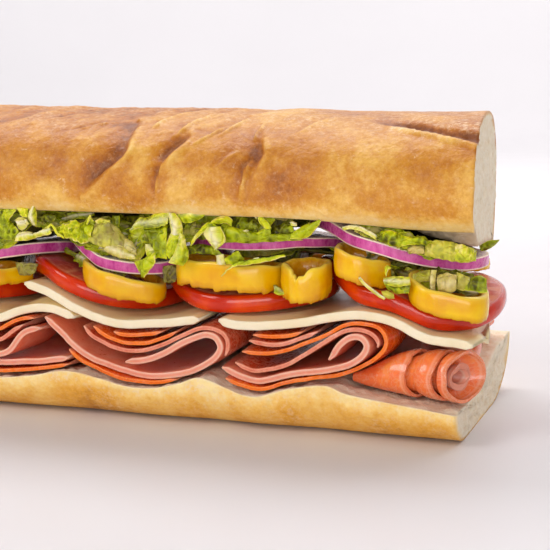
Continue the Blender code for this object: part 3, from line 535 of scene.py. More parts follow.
# Rings that close a cut end, thickness of the crust there, and mask of its crumb
TOP_RINGS, TOP_RIND, TOP_CRUMB_MASK = 26, 1.1, (0.0, 0.08, 0.0)
BOTTOM_RINGS, BOTTOM_RIND, BOTTOM_CRUMB_MASK = 16, 1.0, (0.0, 0.15, 0.0)
FOOT_FRONT, FOOT_BACK = -27.0, 12.0           # flat stretch on which the loaf stands
BOTTOM_STEP, SIDE_COLUMNS, FOOT_COLUMNS, BED_COLUMNS = 0.8, 40, 30, 60
JOINT_COLUMNS = 5         # between crust and crumb
HEEL_STATIONS = 26
TORN_RIMS = [(-29.0, -12.0), (-7.0, 24.0)]    # stretches of x with a floury, flaky rim

# Creases of the top crust: (x, share of the way over) along each, width, depth and lip
CREASES = [
    ([(-7.0, 0.350), (-6.3, 0.234), (-9.0, 0.175), (-17.0, 0.104)], 4.6, 1.5, 0.8),
    ([(12.0, 0.285), (8.9, 0.232), (6.4, 0.178)], 3.4, 2.1, 0.6),
    ([(6.3, 0.185), (5.9, 0.160), (5.4, 0.098)], 1.3, 0.8, 0.7),
    ([(33.5, 0.285), (34.6, 0.215), (33.6, 0.165)], 3.2, 1.6, 0.5),
    ([(31.4, 0.200), (29.6, 0.172), (29.2, 0.085)], 1.8, 0.9, 0.7),
    ([(-45.0, 0.215), (-52.0, 0.110)], 3.5, 1.0, 0.5),
    ([(-66.0, 0.300), (-71.0, 0.200), (-80.0, 0.130)], 3.6, 1.1, 0.6),
    ([(14.1, 0.259), (18.0, 0.300), (21.5, 0.350)], 1.7, 0.6, 0.8),
    ([(7.1, 0.293), (9.5, 0.340), (13.0, 0.410)], 2.0, 0.6, 0.8),
    ([(20.1, 0.289), (22.5, 0.330), (26.0, 0.395)], 1.6, 0.6, 0.8),
    ([(31.1, 0.258), (30.2, 0.300), (31.0, 0.350)], 1.5, 0.4, 1.0),
    ([(40.0, 0.300), (44.5, 0.350), (50.0, 0.400)], 2.4, 0.5, 0.4),
    ([(-2.5, 0.310), (0.5, 0.360), (4.5, 0.430)], 2.0, 0.5, 0.6),
    ([(-26.0, 0.300), (-20.0, 0.340), (-12.0, 0.370)], 1.8, 0.4, 0.4),
    ([(26.5, 0.230), (23.5, 0.200), (21.5, 0.172)], 1.5, 0.3, 0.5),
    ([(-36.0, 0.62), (-30.0, 0.74), (-22.0, 0.86)], 4.5, 1.1, 0.4),
    ([(12.0, 0.64), (17.0, 0.74), (20.0, 0.84)], 4.5, 0.9, 0.4),
    ([(48.0, 0.66), (54.0, 0.77), (58.0, 0.88)], 5.0, 0.9, 0.4),
    ([(-60.0, 0.55), (-52.0, 0.66), (-47.0, 0.80)], 3.6, 0.8, 0.5),
]
# Broad dents and swellings: (x, share), size and depth
DENTS = [((43, 0.13), 6.0, 1.0), ((-27, 0.155), 6.5, 1.1), ((10.5, 0.085), 4.0, -0.8),
         ((-29, 0.100), 6.0, -0.6), ((-12, 0.18), 7.0, 0.5), ((20, 0.14), 7.0, -0.6),
         ((60, 0.22), 9.0, -0.3), ((78, 0.66), 8.0, 0.5), ((-5, 0.72), 9.0, -0.7)]
# The score that opened in the oven, its lip in front of the groove and the lobe behind
SCORE_LIP = [(56.0, 0.392), (62.0, 0.381), (75.0, 0.349), (85.5, 0.318), (96.0, 0.282)]
SCORE_SPAN = (58.0, 76.0)


def along_line(x, s, line):
    """Distance from a line, the side of it, and the nearest place along it."""
    pts = np.array(line, float) * (1.0, ARC_LENGTH)
    best = np.full(x.shape, 1e9)
    side = np.zeros(x.shape)
    place = np.zeros(x.shape)
    total = np.linalg.norm(np.diff(pts, axis=0), axis=1).sum()
    gone = 0.0
    for a, b in zip(pts[:-1], pts[1:]):
        run = b - a
        length = np.hypot(*run)
        t = np.clip(((x - a[0]) * run[0] + (s - a[1]) * run[1]) / length**2, 0, 1)
        dx, ds = x - (a[0] + run[0] * t), s - (a[1] + run[1] * t)
        away = np.hypot(dx, ds)
        near = away < best
        best = np.where(near, away, best)
        side = np.where(near, np.sign(dx + 1e-9), side)
        place = np.where(near, (gone + t * length) / total, place)
        gone += length
    return best, side, place


def crust_relief(x, share):
    """How far the top crust sinks in, in millimetres, rises where negative."""
    s = share * ARC_LENGTH
    wobble_x = x + 1.1 * noise(x, s, 0, 7.0, 3)
    wobble_s = s + 1.1 * noise(x, s, 5, 7.0, 4)
    depth = np.zeros(x.shape)
    for line, width, sunk, lip in CREASES:
        away, side, place = along_line(wobble_x, wobble_s, line)
        taper = np.sin(math.pi * np.clip(place, 0.04, 0.96)) ** 0.5
        d = away * side
        depth += 1.15 * sunk * taper * np.exp(-np.where(d < 0, (d / (1.15 * width)) ** 2,
                                                        (d / (0.28 * width)) ** 2))
        depth -= 1.25 * lip * taper * np.exp(-((d - 0.6 * width) / (0.3 * width)) ** 2)
    for (cx, cs), size, sunk in DENTS:
        far = (wobble_x - cx) ** 2 + (wobble_s - cs * ARC_LENGTH) ** 2
        depth += sunk * np.exp(-far / size**2)
    away = along_line(x, s + 0.5 * noise(x, s, 2, 4.0, 6), SCORE_LIP)[0]
    above = s > np.interp(x, [p[0] for p in SCORE_LIP], [p[1] * ARC_LENGTH for p in SCORE_LIP])
    open_up = ease((x - SCORE_SPAN[0]) / (SCORE_SPAN[1] - SCORE_SPAN[0]))
    d = np.where(above, away, -away)
    rough_lobe = 0.5 * fractal(x, s * 0.5, 9, 2.6, 8)
    groove = (2.1 + rough_lobe) * np.exp(-((d - 2.2) / 1.9) ** 2)
    depth += open_up * np.where(d > 0, groove - 0.7 * np.exp(-((d - 9.0) / 5.0) ** 2), 0.0)
    depth -= open_up * 1.0 * np.exp(-((d + 0.9) / 1.3) ** 2)
    wrinkled = ease((44.0 - x) / 40.0) * ease((share - 0.22) / 0.12) * ease((0.62 - share) / 0.1)
    across, along = x * 0.9 - s * 0.55, s * 0.45 + x * 0.2
    depth += wrinkled * 0.7 * np.abs(fractal(across, along, 0, 4.2, 21))
    depth += (0.1 + 0.3 * wrinkled) * np.abs(fractal(across, 0.8 * along, 3, 2.1, 23, 2))
    depth += 0.34 * fractal(x, s, 0, 13.0, 31, 2) + 0.12 * fractal(x, s, 4, 4.5, 33, 2)
    return depth


def joined(outer, inner):
    """Columns of a closed outline, with some between the ends of its two parts."""
    t = np.linspace(0, 1, JOINT_COLUMNS + 2)[None, 1:-1]
    there = lerp(outer[:, -1:], inner[:, :1], t)
    back = lerp(inner[:, -1:], outer[:, :1], t)
    return np.concatenate([outer, there, inner, back], axis=1)


def top_outline(x, shares, inner_shares):
    """Outline of the top half at each x: crust over the top, then crumb underneath.

    Gives y, z and how far the crust is sunk there.
    """
    narrow = heel(x)
    front_edge = height(TOP_EDGE, x)
    back_edge = crumb_level(TOP_CRUMB, x, BACK_RIM * narrow) - 1.0
    crown = (LOAF_TOP - EQUATOR) * (1.0 + 0.01 * np.sin(x / 14.0))
    start = -np.arcsin((EQUATOR - front_edge) / FRONT_LOW)
    stop = math.pi + np.arcsin((EQUATOR - back_edge) / BACK_LOW)
    a = lerp(start, stop, shares)
    c, s = np.cos(a), np.sin(a)
    reach = np.where(c > 0, HALF_DEPTH, HALF_DEPTH - 0.3)
    drop = np.where(s > 0, crown, np.where(c > 0, FRONT_LOW, BACK_LOW))
    power = 2 / SQUARENESS
    y = -reach * np.copysign(np.abs(c) ** power, c)
    z = drop * np.copysign(np.abs(s) ** power, s)
    edge_fade = ease(shares * 14.0) * ease((1.0 - shares) * 14.0)
    sunk = crust_relief(x + 0 * shares, shares + 0 * x) * edge_fade
    size = np.hypot(y, z)
    keep = (size - sunk) / size
    crust_y = y * keep * narrow
    crust_z = EQUATOR + z * keep * (0.35 + 0.65 * narrow)
    inner = lerp(*TOP_BED, inner_shares)
    bevel = ease((-inner - 23.0) / 15.0)
    inside = crumb_level(TOP_CRUMB, x, inner * narrow) + 0.7
    inner_z = lerp(inside, front_edge + 0.3, bevel)
    torn = 0.5 * fractal(x, inner, 0, 3.0, 41) + 0.35 * np.abs(noise(x, inner, 0, 1.3, 44))
    inner_z = inner_z + torn * ease((1 - inner_shares) * 12) * ease(inner_shares * 12)
    pairs = (crust_y, inner * narrow), (crust_z, inner_z), (sunk, 0 * inner_z)
    return [joined(outer, inside) for outer, inside in pairs]


def stations(cut_x, step):
    """Places along the loaf, closer together where its heel rounds off."""
    turn = np.linspace(0, math.pi / 2, HEEL_STATIONS)[:-1]
    round_off = HEEL_X + HEEL_LENGTH * (1 - np.cos(turn))
    start = HEEL_X + HEEL_LENGTH
    return np.concatenate([round_off, np.linspace(start, cut_x, round((cut_x - start) / step))])


def end_rings(ring, masks, hub, steps, crust_width, crumb_mask):
    """Rings that close a cut end towards its middle, with pores in the crumb."""
    rings, values = [], []
    size = np.linalg.norm(ring - hub, axis=1)
    for t in np.linspace(0, 1, steps + 1)[1:] ** 0.8:
        points = lerp(ring, hub, t * 0.985)
        rim = np.clip(1 - t * size / crust_width, 0, 1)[:, None]
        pits = (0.45 * fractal(points[:, 1], points[:, 2], 0, 3.2, 51)
                + 0.5 * np.abs(noise(points[:, 1], points[:, 2], 0, 1.5, 52)))
        pits = pits * ease(t * size / 2.0)
        points = points - np.stack([pits, 0 * pits, 0 * pits], axis=-1)
        rings.append(points)
        values.append(masks * rim + crumb_mask * (1 - rim))
    return rings, values


def make_half(name, node, rings, masks, hub, steps, crust_width, crumb_mask, material):
    """Closes the cut end of half a loaf and makes its piece."""
    more, values = end_rings(rings[-1], masks[-1], np.array(hub), steps, crust_width,
                             np.array(crumb_mask))
    points, faces, values = capped(np.concatenate([rings, more]),
                                   np.concatenate([masks, values]))
    make_piece(name, [node], points, faces, values, material)


def top_cut(y):
    """Where the slanting cut of the top half lies at y."""
    return TOP_CUT_FRONT_X - TOP_CUT_SKEW * (y + HALF_DEPTH)


def make_top_bread(material):
    far = top_cut(0.0)
    x = stations(far, TOP_STEP)[:, None]
    shares = np.linspace(0, 1, CRUST_COLUMNS)[None, :]
    y, z, sunk = top_outline(x, shares, np.linspace(0, 1, CRUMB_COLUMNS)[None, :])
    u = (x - HEEL_X) / (far - HEEL_X)
    rings = np.stack([lerp(HEEL_X, top_cut(y), u), y, z], axis=-1)
    rest = np.zeros((1, y.shape[1] - shares.size))
    over = np.concatenate([shares, rest], axis=1) + 0 * x
    is_crust = np.concatenate([0 * shares + 1.0, rest], axis=1) + 0 * x
    is_crust[:, [0, shares.size - 1]] = 0.6
    low_band = np.maximum(ease((0.10 - over) / 0.09), ease((over - 0.9) / 0.08))
    arc = over * ARC_LENGTH
    # Painted shade darkens the crust where it sinks into creases, and a painted highlight lightens
    # it where it rises, as on the creases' lips; the rest is how strongly it is baked
    bake_and_shade = 0.60 + 0.26 * np.clip(sunk, -1.6, 2.0) - 0.46 * low_band
    bake_and_shade += 0.16 * fractal(rings[..., 0], arc, 0, 24.0, 61) + 0.10 * noise(x, arc, 0, 5.0, 63)
    smooth_side = ease((x - 40.0) / 30.0) * ease((0.34 - over) / 0.1)
    bake_and_shade -= 0.08 * smooth_side + 0.08 * ease((x - 30.0) / 30.0) * ease((0.2 - over) / 0.1)
    blister = np.clip(noise(x, arc, 0, 1.7, 66) - 0.62, 0, 1) * ease((0.3 - over) / 0.05)
    # A painted sheen: the top of the crust lighter and pinker, most where it rises
    painted_sheen = ease((over - 0.27) / 0.1) * ease((0.62 - over) / 0.12)
    flour_and_sheen = 0.3 * low_band + 0.1 + 2.0 * blister + painted_sheen * (0.4 - 0.5 * np.clip(sunk, -0.5, 1.0))
    # The crumb underneath gets a fixed brown stain from the filling, partly painted shade
    bake_and_shade = np.where(is_crust > 0.5, bake_and_shade, 0.5)
    masks = np.stack([is_crust, np.clip(bake_and_shade, 0, 1), np.clip(flour_and_sheen, 0, 1)], axis=-1)
    hub = (top_cut(TOP_HUB[0]), *TOP_HUB)
    make_half("top_bread", "bread_top", rings, masks, hub, TOP_RINGS, TOP_RIND,
              TOP_CRUMB_MASK, material)


def make_bottom_bread(material):
    x = stations(CUT_X, BOTTOM_STEP)[:, None]
    narrow = heel(x)
    rim_front = height(BOTTOM_CRUMB, x)
    rim_back = crumb_level(BOTTOM_CRUMB, x, BACK_RIM * narrow) + 0.2
    wobble = 0.5 * np.sin(x / 9.0) + 0.4 * np.sin(x / 5.3 + 1.0)
    a = np.linspace(0, math.pi / 2, SIDE_COLUMNS)[None, :]
    front_y = FOOT_FRONT - (HALF_DEPTH + FOOT_FRONT) * np.cos(a) * (1 + 0.012 * wobble)
    front_z = rim_front * (1.0 - np.sin(a))
    flat = np.linspace(FOOT_FRONT, FOOT_BACK, FOOT_COLUMNS)[None, 1:-1] + 0 * x
    back_y = FOOT_BACK + (HALF_DEPTH - 0.3 - FOOT_BACK) * np.sin(a) + 0 * x
    back_z = rim_back * (1.0 - np.cos(a))
    y = np.concatenate([front_y, flat, back_y], axis=1)
    z = np.concatenate([front_z, 0 * flat, back_z], axis=1)
    crust_count = y.shape[1]
    rise = (1.0 - narrow) * 8.0 / 14.0
    z = np.where(z < rim_front, lerp(z, rim_front, rise), z)
    bump = (0.4 * fractal(x, z * 1.3 + y, 3, 9.0, 71, 2) + 0.22 * noise(x, y + z, 0, 2.2, 74))
    lip = ease(z / 2.0) * ease((rim_front - z) / 3.0)
    near_rim = ease((z / rim_front - 0.6) / 0.3)
    bump = bump + 0.35 * np.abs(fractal(x, y + z, 5, 1.7, 75, 2)) * near_rim
    y = (y + np.sign(y) * -bump * lip) * narrow
    inner = np.linspace(*BOTTOM_BED, BED_COLUMNS)[None, :]
    torn = 0.45 * fractal(x, inner, 0, 3.0, 77) + 0.4 * np.abs(noise(x, inner, 0, 1.2, 78))
    inner_z = crumb_level(BOTTOM_CRUMB, x, inner * narrow) - 0.3 - torn
    y, z = joined(y, inner * narrow), joined(z, inner_z)
    rings = np.stack([x + 0 * y, y, z], axis=-1)
    is_crust = (np.arange(y.shape[1]) < crust_count)[None, :] * 1.0 + 0 * x
    is_crust[:, [0, crust_count - 1]] = 0.6
    up = z / np.maximum(rim_front, 1.0)
    bake_and_shade = 0.34 + 0.26 * (1 - up) - 0.22 * ease((up - 0.55) / 0.4) + 0 * x
    bake_and_shade += 0.14 * fractal(x, y + z, 0, 16.0, 81) + 0.12 * noise(x, y + z, 0, 3.0, 83)
    flaky = sum(ease((x - start) / 4.0) * ease((stop - x) / 4.0) for start, stop in TORN_RIMS)
    flour_and_sheen = 0.3 + (0.2 + 0.42 * flaky) * ease((up - 0.6) / 0.3) + 0.25 * noise(x, z, 0, 9.0, 86)
    masks = np.stack([is_crust, np.clip(bake_and_shade, 0, 1), np.clip(flour_and_sheen, 0, 1)], axis=-1)
    hub = (CUT_X, *BOTTOM_HUB)
    make_half("bottom_bread", "bread_bottom", rings, masks, hub, BOTTOM_RINGS,
              BOTTOM_RIND, BOTTOM_CRUMB_MASK, material)


# Sheets: cheese and the folded meats


SHEET_ROWS = 17
SHEET_STEP = 0.9          # between the places along a folded slice
SHEET_TIP = 2.5           # steps over which a slice thins out at its two ends


def sheet_rows():
    """Places from front to back, closer together at both cut edges."""
    t = np.linspace(0, 1, SHEET_ROWS)
    return t - 0.13 * np.sin(2 * math.pi * t)


# A cut edge from its upper to its lower corner: share of the half thickness, and how far
# it stands back, as a share of the thickness
EDGE_SHAPE = [(0.97, 0.09), (0.88, 0.03), (0.62, 0.0), (0.2, -0.01), (-0.2, -0.01), (-0.62, 0.0),
              (-0.88, 0.03), (-0.97, 0.09)]


def draped(node, line, thick, front, back, material, seed, sway=0.9, crease=0.14,
           edge_wave=None, shift=None, rind=0.3):
    """A slice that follows the line of (x, z) points, from front to back, edges rounded.

    sway and edge_wave shape its front edge, crease its faces, and shift raises it in places.
    """
    last = len(line) - 1
    run = np.gradient(line, axis=0)
    run /= np.linalg.norm(run, axis=1, keepdims=True)
    normal = np.stack([-run[:, 1], run[:, 0]], axis=-1)
    u = np.linspace(0, 1, last + 1)
    reach = np.concatenate([[0], np.cumsum(np.linalg.norm(np.diff(line, axis=0), axis=1))])
    start = front + sway * np.sin(5.0 * u + seed) - 0.4 + 0.35 * fractal(reach, 0, 0, 4.0, seed)
    end = back + 1.0 * np.sin(4.0 * u + 2.0 * seed)
    if edge_wave is not None:
        start = start + edge_wave(line[:, 0])
    rows = sheet_rows()
    half = thick / 2
    flat = 0.16 * thick
    zero = np.zeros(last + 1)
    ring_y, ring_n, edge, rim = [], [], [], []
    for way in (1, -1):
        ring_y += [lerp(start + flat, end - flat, r) for r in rows[::way]]
        ring_n += [zero + half * way] * len(rows)
        edge += [zero + 0.4] + [zero] * (len(rows) - 2) + [zero + 0.4]
        rim += [zero] * len(rows)
        for up, inset in EDGE_SHAPE[::way]:
            ring_y.append((end if way > 0 else start) - way * inset * thick)
            ring_n.append(zero + half * up)
            edge.append(zero + 1.0)
            rim.append(zero + (0.6 < abs(up)))
    ring_y, ring_n, edge, rim = (np.stack(v, axis=1) for v in (ring_y, ring_n, edge, rim))
    away = ring_n + crease * fractal(reach[:, None], ring_y, 0, 6.0, seed + 3, 2)
    ends = ease(u * last / SHEET_TIP) * ease((1 - u) * last / SHEET_TIP)
    away = np.where(ring_n * away > 0, away, ring_n) * (0.35 + 0.65 * ends[:, None])
    x = line[:, None, 0] + normal[:, None, 0] * away
    z = line[:, None, 1] + normal[:, None, 1] * away
    if shift is not None:
        z = z + shift(x, ring_y)
    rings = np.stack([x, ring_y, z], axis=-1)
    tips = (1 - ends)[:, None] + 0 * edge
    masks = np.stack([np.clip(edge, 0, 1), rind * tips, rim], axis=-1)
    points, faces, values = capped(settle(rings), masks)
    make_piece(node + "_slice", [node], points, faces, values, material)


# Underside of each slice, (x, z), how far its middle is raised, and how far its end droops
CHEESE_SLICES = {
    "cheese_1": ([(-88, 23.5), (-75, 27.4), (-60, 27.6), (-52, 26.8), (-44, 26.4),
                  (-38, 28.6), (-32, 29.9), (-27, 30.0), (-23.5, 29.3), (-19.5, 28.0)], 1.2, 0.0),
    "cheese_2": ([(-36, 37.0), (-32, 36.0), (-25, 33.7), (-20, 31.2), (-12, 28.3), (-4, 27.1),
                  (0, 27.1), (9, 27.9), (14, 28.8), (19, 29.5)], 0.0, 0.0),
    "cheese_3": ([(25, 29.8), (29, 29.2), (37, 29.1), (43, 29.6), (50, 30.7), (56, 32.0),
                  (63, 33.3), (70, 33.4), (74, 32.6), (78, 31.0), (84, 28.4), (88, 27.9),
                  (93, 27.4), (96.5, 26.8)], 0.0, 3.0),
}


CHEESE_STEP = 0.7         # between the places along a slice of cheese


def make_cheese(material):
    for k, (node, (profile, raised, droop)) in enumerate(CHEESE_SLICES.items()):
        x0, x1 = profile[0][0], profile[-1][0]
        x = np.linspace(x0, x1, round((x1 - x0) / CHEESE_STEP))
        line = np.stack([x, height(profile, x) + CHEESE / 2], axis=-1)

        def shift(x, y, raised=raised, droop=droop, x0=x0, x1=x1):
            inside = ease((y - FRONT_Y) / 15.0) * ease((BACK_Y - y) / 13.0)
            t = (x - x0) / (x1 - x0)
            up = raised * inside * ease(np.minimum(t, 1 - t) * 5.0)
            return up - droop * ease((y + 26.0) / 10.0) * ease((x - (x1 - 6.0)) / 6.0)

        draped(node, line, CHEESE, FRONT_Y, BACK_Y, material, seed=90 + k, sway=0.2,
               crease=0.1, shift=shift, rind=0.0,
               edge_wave=lambda x: 0.6 * np.sin(x / 7.0) + 0.3 * np.sin(x / 2.9))


# The middle of each folded slice, (x, z), from one end to the other
FOLDED_HAM = {
    "ham_1": [(-21.6, 17.3), (-26.9, 16.1), (-32.8, 15.2), (-44.6, 14.2), (-57, 13.6),
              (-70, 13.4), (-80, 13.7), (-85.6, 14.9), (-86, 17.2), (-80, 18.0), (-72, 20.2),
              (-64, 20.6), (-56, 18.6), (-50, 17.2), (-45.5, 16.8), (-41.8, 17.5),
              (-39.4, 19.4), (-37.4, 22.0), (-35.2, 24.1), (-32.5, 25.2), (-30.2, 25.4)],
    "ham_2": [(-29.4, 28.7), (-26.8, 26.6), (-23.6, 23.8), (-19.6, 20.4), (-15.4, 17.8),
              (-8.4, 15.5), (-4.2, 14.5), (0.5, 13.8), (5.7, 13.7), (14.0, 15.2), (19.4, 17.2),
              (23.4, 19.8), (25.5, 22.4), (25.6, 24.4), (24.2, 26.2), (21.7, 26.9),
              (18.6, 26.1), (14.1, 23.8), (8.6, 20.7), (3.0, 18.4), (-3.4, 17.2)],
    "ham_3": [(25.6, 17.5), (28.0, 16.7), (31.9, 15.2), (36.1, 14.4), (40.2, 15.3),
              (44.1, 16.7), (50.3, 18.1), (55.0, 18.9), (59.7, 19.8), (63.3, 21.2),
              (66.7, 23.8), (68.0, 26.4), (67.0, 28.3), (65.0, 28.9), (62.6, 28.2),
              (60.2, 26.2), (58.2, 23.6), (56.9, 21.8)],
}
FOLDED_SALAMI = {
    "salami_1": [(-87, 20.6), (-80, 22.0), (-70, 23.4), (-60, 23.2), (-52, 21.8),
                 (-44.4, 21.2), (-41.4, 22.4), (-38.4, 24.6), (-36.0, 26.0)],
    "salami_2": [(-17.0, 26.8), (-14.5, 24.2), (-10.5, 22.2), (-6.9, 21.1), (-2.5, 20.5),
                 (3.1, 21.2), (8.6, 23.2), (14.1, 26.1), (18.8, 28.3), (22.5, 28.9),
                 (26.2, 27.9), (27.9, 25.6), (27.8, 22.9), (27.2, 21.2)],
    "salami_3": [(29.6, 19.2), (32.9, 17.9), (36.7, 17.4), (44.1, 19.4), (50.3, 23.0),
                 (56.5, 27.2), (61.1, 29.9), (65.5, 30.9), (69.0, 30.0), (70.8, 27.8),
                 (70.7, 26.2)],
    "salami_4": [(34.0, 25.8), (38.3, 25.5), (44.0, 25.6), (50.3, 27.9), (53.4, 29.3)],
}
FOLDED_CURED = {
    "cured_1": [(-88, 22.2), (-80, 24.2), (-70, 25.8), (-60, 25.6), (-52, 24.6),
                (-44.3, 24.4), (-41.3, 25.6), (-38.3, 27.2), (-34.8, 28.2), (-32.0, 28.3)],
    "cured_2": [(-84, 11.7), (-70, 11.6), (-57, 11.8), (-44.7, 11.9), (-38.7, 12.5),
                (-32.8, 13.2), (-27.0, 14.1), (-21.6, 15.3)],
    "cured_3": [(-21.8, 19.6), (-20.4, 18.4), (-16.4, 16.1), (-9.6, 13.9), (-4.6, 12.7),
                (0.4, 12.0), (5.8, 12.0), (12.0, 13.0)],
    "cured_4": [(-13.5, 27.0), (-10.0, 25.0), (-5.4, 23.5), (-2.5, 22.9), (3.1, 23.2),
                (8.6, 25.1), (12.0, 26.9)],
    "cured_5": [(-6.6, 26.0), (-4.0, 25.4), (0.0, 25.2), (4.0, 25.6), (7.4, 26.5)],
    "cured_6": [(27.4, 14.9), (32.2, 13.1), (36.5, 12.4), (40.9, 13.3), (44.6, 14.7),
                (51.9, 16.4), (59.7, 17.9), (67.3, 21.2), (71.9, 25.0), (73.0, 28.4),
                (71.0, 31.3), (66.0, 32.5), (61.0, 31.6), (56.5, 28.9), (50.3, 26.0),
                (43.4, 23.4), (37.0, 22.5), (32.0, 22.6)],
    "cured_7": [(35.4, 27.6), (39.3, 27.2), (45.6, 27.9), (49.6, 29.2)],
}
BEHIND_ROLL = {
    "cured_8": ([(64, 14.9), (70, 14.3), (78, 13.3), (86, 12.4), (91.2, 13.0), (93.0, 15.4),
                 (91.4, 17.8), (85, 18.6), (77.5, 20.0)], CURED, "cured"),
    "ham_4": ([(67, 16.4), (74, 15.9), (82, 15.2), (87.0, 15.5)], 1.6, "ham"),
    "ham_5": ([(77.2, 22.6), (82, 21.2), (88, 20.4), (92.2, 20.9), (93.2, 22.9), (90, 24.4),
               (84, 25.3), (79.2, 26.6)], HAM, "ham"),
}
ROLL_BACK_Y = -21.5


def make_meats(materials):
    groups = [({node: (path, thick, kind) for node, path in group.items()}, FRONT_Y)
              for group, thick, kind in ((FOLDED_HAM, HAM, "ham"),
                                         (FOLDED_SALAMI, SALAMI, "salami"),
                                         (FOLDED_CURED, CURED, "cured"))]
    for group, front in groups + [(BEHIND_ROLL, ROLL_BACK_Y)]:
        for k, (node, (path, thick, kind)) in enumerate(group.items()):
            draped(node, smooth_path(path, SHEET_STEP), thick, front, BACK_Y, materials[kind],
                   seed=k)


# Discs: tomato and onion

DISC_SPOKES, DISC_RINGS = 200, 26
TOMATO_HALF_Y, ONION_HALF_Y = 36.0, 35.9
# Middle x, half its length, thickness of an onion slice, and its underside, (x, z)
TOMATO_SLICES = [
    (-66.0, 25.0, [(-92, 31.0), (-75, 31.8), (-60, 31.8), (-45, 31.4), (-40, 32.2)]),
    (-21.0, 24.5, [(-46, 38.8), (-42, 39.4), (-36, 40.2), (-32, 39.9), (-28, 38.4), (-22, 36.0),
                   (-13, 32.6), (-4, 30.4), (4, 30.4)]),
    (24.5, 26.5, [(-3, 36.7), (3, 36.1), (8, 34.8), (16, 33.3), (24, 32.6), (37, 32.9),
                  (45, 33.8), (52, 35.4)]),
    (73.5, 27.3, [(46, 42.0), (52, 41.4), (57, 39.8), (63, 37.4), (70, 36.4), (74, 35.6),
                  (78, 34.0), (84, 31.4), (92, 30.4), (101, 30.4)]),
]
ONION_SLICES = [
    (-53.5, 24.5, ONION, [(-79, 43.5), (-60, 42.8), (-50, 43.8), (-44, 44.9), (-38, 45.8),
                           (-33, 45.9), (-28, 45.6)]),
    (-9.0, 26.0, ONION, [(-36, 52.0), (-30, 50.9), (-24, 49.0), (-17, 45.9), (-13, 44.0),
                         (-5, 42.6), (1, 42.0), (5, 42.1), (13.5, 43.9), (18, 45.3)]),
    (30.5, 25.5, THIN_ONION, [(4, 48.9), (10, 49.0), (17, 50.0), (26, 50.5), (37, 50.7),
                              (46, 50.8), (57, 50.2)]),
    (69.2, 25.8, ONION, [(42, 56.6), (50, 56.0), (54.5, 55.4), (57, 54.7), (61, 53.3),
                         (66, 52.2), (70.5, 51.2), (77, 49.2), (85.5, 47.2), (91, 46.4),
                         (97, 46.5)]),
]


def end_tilt(x, y):
    """How far the last tomato slice rises towards the back of the cut end."""
    return END_TILT * ease((x - 78.0) / 16.0) * ease((y + 34.0) / 40.0)


def around(spokes):
    """Angles all the way round, as a column."""
    return np.linspace(0, 2 * math.pi, spokes, endpoint=False)[:, None]


def disc(node, mid_x, half_x, half_y, profile, thick, material, seed, paint, rim_turns,
         tilt=None):
    """A draped round slice; rim_turns shape its edge, and paint gives its mask."""
    angle = around(DISC_SPOKES)
    shares = np.concatenate([[0.04], np.linspace(0.12, 1.0, DISC_RINGS)])
    up = np.concatenate([np.ones(shares.size), [t[1] for t in rim_turns], np.zeros(shares.size)])
    share = np.concatenate([shares, np.ones(len(rim_turns)), shares[::-1]])
    out = np.concatenate([np.zeros(shares.size), [t[0] for t in rim_turns], np.zeros(shares.size)])
    share, up, out = share[None, :], up[None, :], out[None, :]
    uneven = 1.0 + 0.03 * np.sin(2 * angle + seed) + 0.02 * np.sin(3 * angle + 2 * seed)
    x = mid_x + (half_x * share + out) * np.cos(angle) * uneven
    y = (half_y * share + out) * np.sin(angle) * (1.0 + 0.015 * np.sin(3 * angle + seed))
    masks, lift = paint(share, angle, up, x, y)
    z = height(profile, x) + thick * up + lift + (tilt(x, y) if tilt else 0.0)
    rings = settle(np.stack([x, y, z + 0 * angle], axis=-1))
    rows, count = rings.shape[:2]
    loops = [([i * count + column for i in range(rows)], flip)
             for column, flip in ((0, False), (count - 1, True))]
    points, faces, values = fanned(rings, grid_faces(rows, count, wrap_rows=True), masks, loops)
    make_piece(node + "_slice", [node], points, faces, values, material, sharp=50)


def paint_tomato(seed):
    """A painter of tomato slices, which gives the mask and how far the face is raised."""
    def paint(share, angle, up, x, y):
        rooms = 5 + seed % 2
        wedge = np.cos(rooms * angle + seed)
        jelly = ease(wedge / 0.4) * ease((share - 0.3) / 0.08) * ease((0.8 - share) / 0.06)
        seeds = np.clip(noise(x, y, 0, 1.8, seed + 5) - 0.35, 0, 1) * jelly
        skin = ease((share - 0.985) / 0.015) + 0 * angle
        face = 1 - skin
        lift = (-0.55 * jelly + 0.8 * seeds + 0.15 * noise(x, y, 0, 2.5, seed)) * face
        lift = lift * np.where(up > 0.5, 1, -1)
        line = ease((share - 0.955) / 0.02) * face * (up > 0.5) + 0 * angle
        spokes = ease((noise(9 * np.cos(angle), 9 * np.sin(angle), 0, 0.7, seed) - 0.1) / 0.3)
        spokes = spokes * ease((share - 0.62) / 0.2) * ease((0.955 - share) / 0.02) * (1 - jelly)
        return np.stack([skin, 0.7 * line + 0.6 * spokes, jelly * face], axis=-1), lift
    return paint


def paint_onion(seed):
    """A painter of onion slices, which gives the mask and how far the face is raised."""
    def paint(share, angle, up, x, y):
        rings = 0.5 + 0.5 * np.cos(2 * math.pi * share * 8.0 + 0.3 * np.sin(angle + seed))
        face = 1 - ease((share - 0.97) / 0.03)
        line = ease((rings - 0.75) / 0.2) * face + 0 * angle
        rim = ease((0.44 - np.abs(up - 0.5)) / 0.08)
        skin = (1 - face) * rim + 0 * angle
        pale = (1 - face) * (1 - rim) + 0 * angle
        lift = -0.25 * ease((rings - 0.8) / 0.2) * face * np.where(up > 0.5, 1, -1)
        lift = lift + 0.12 * noise(x, y, 0, 5.0, seed + 2)
        return np.stack([skin, 0.9 * pale, line], axis=-1), lift
    return paint


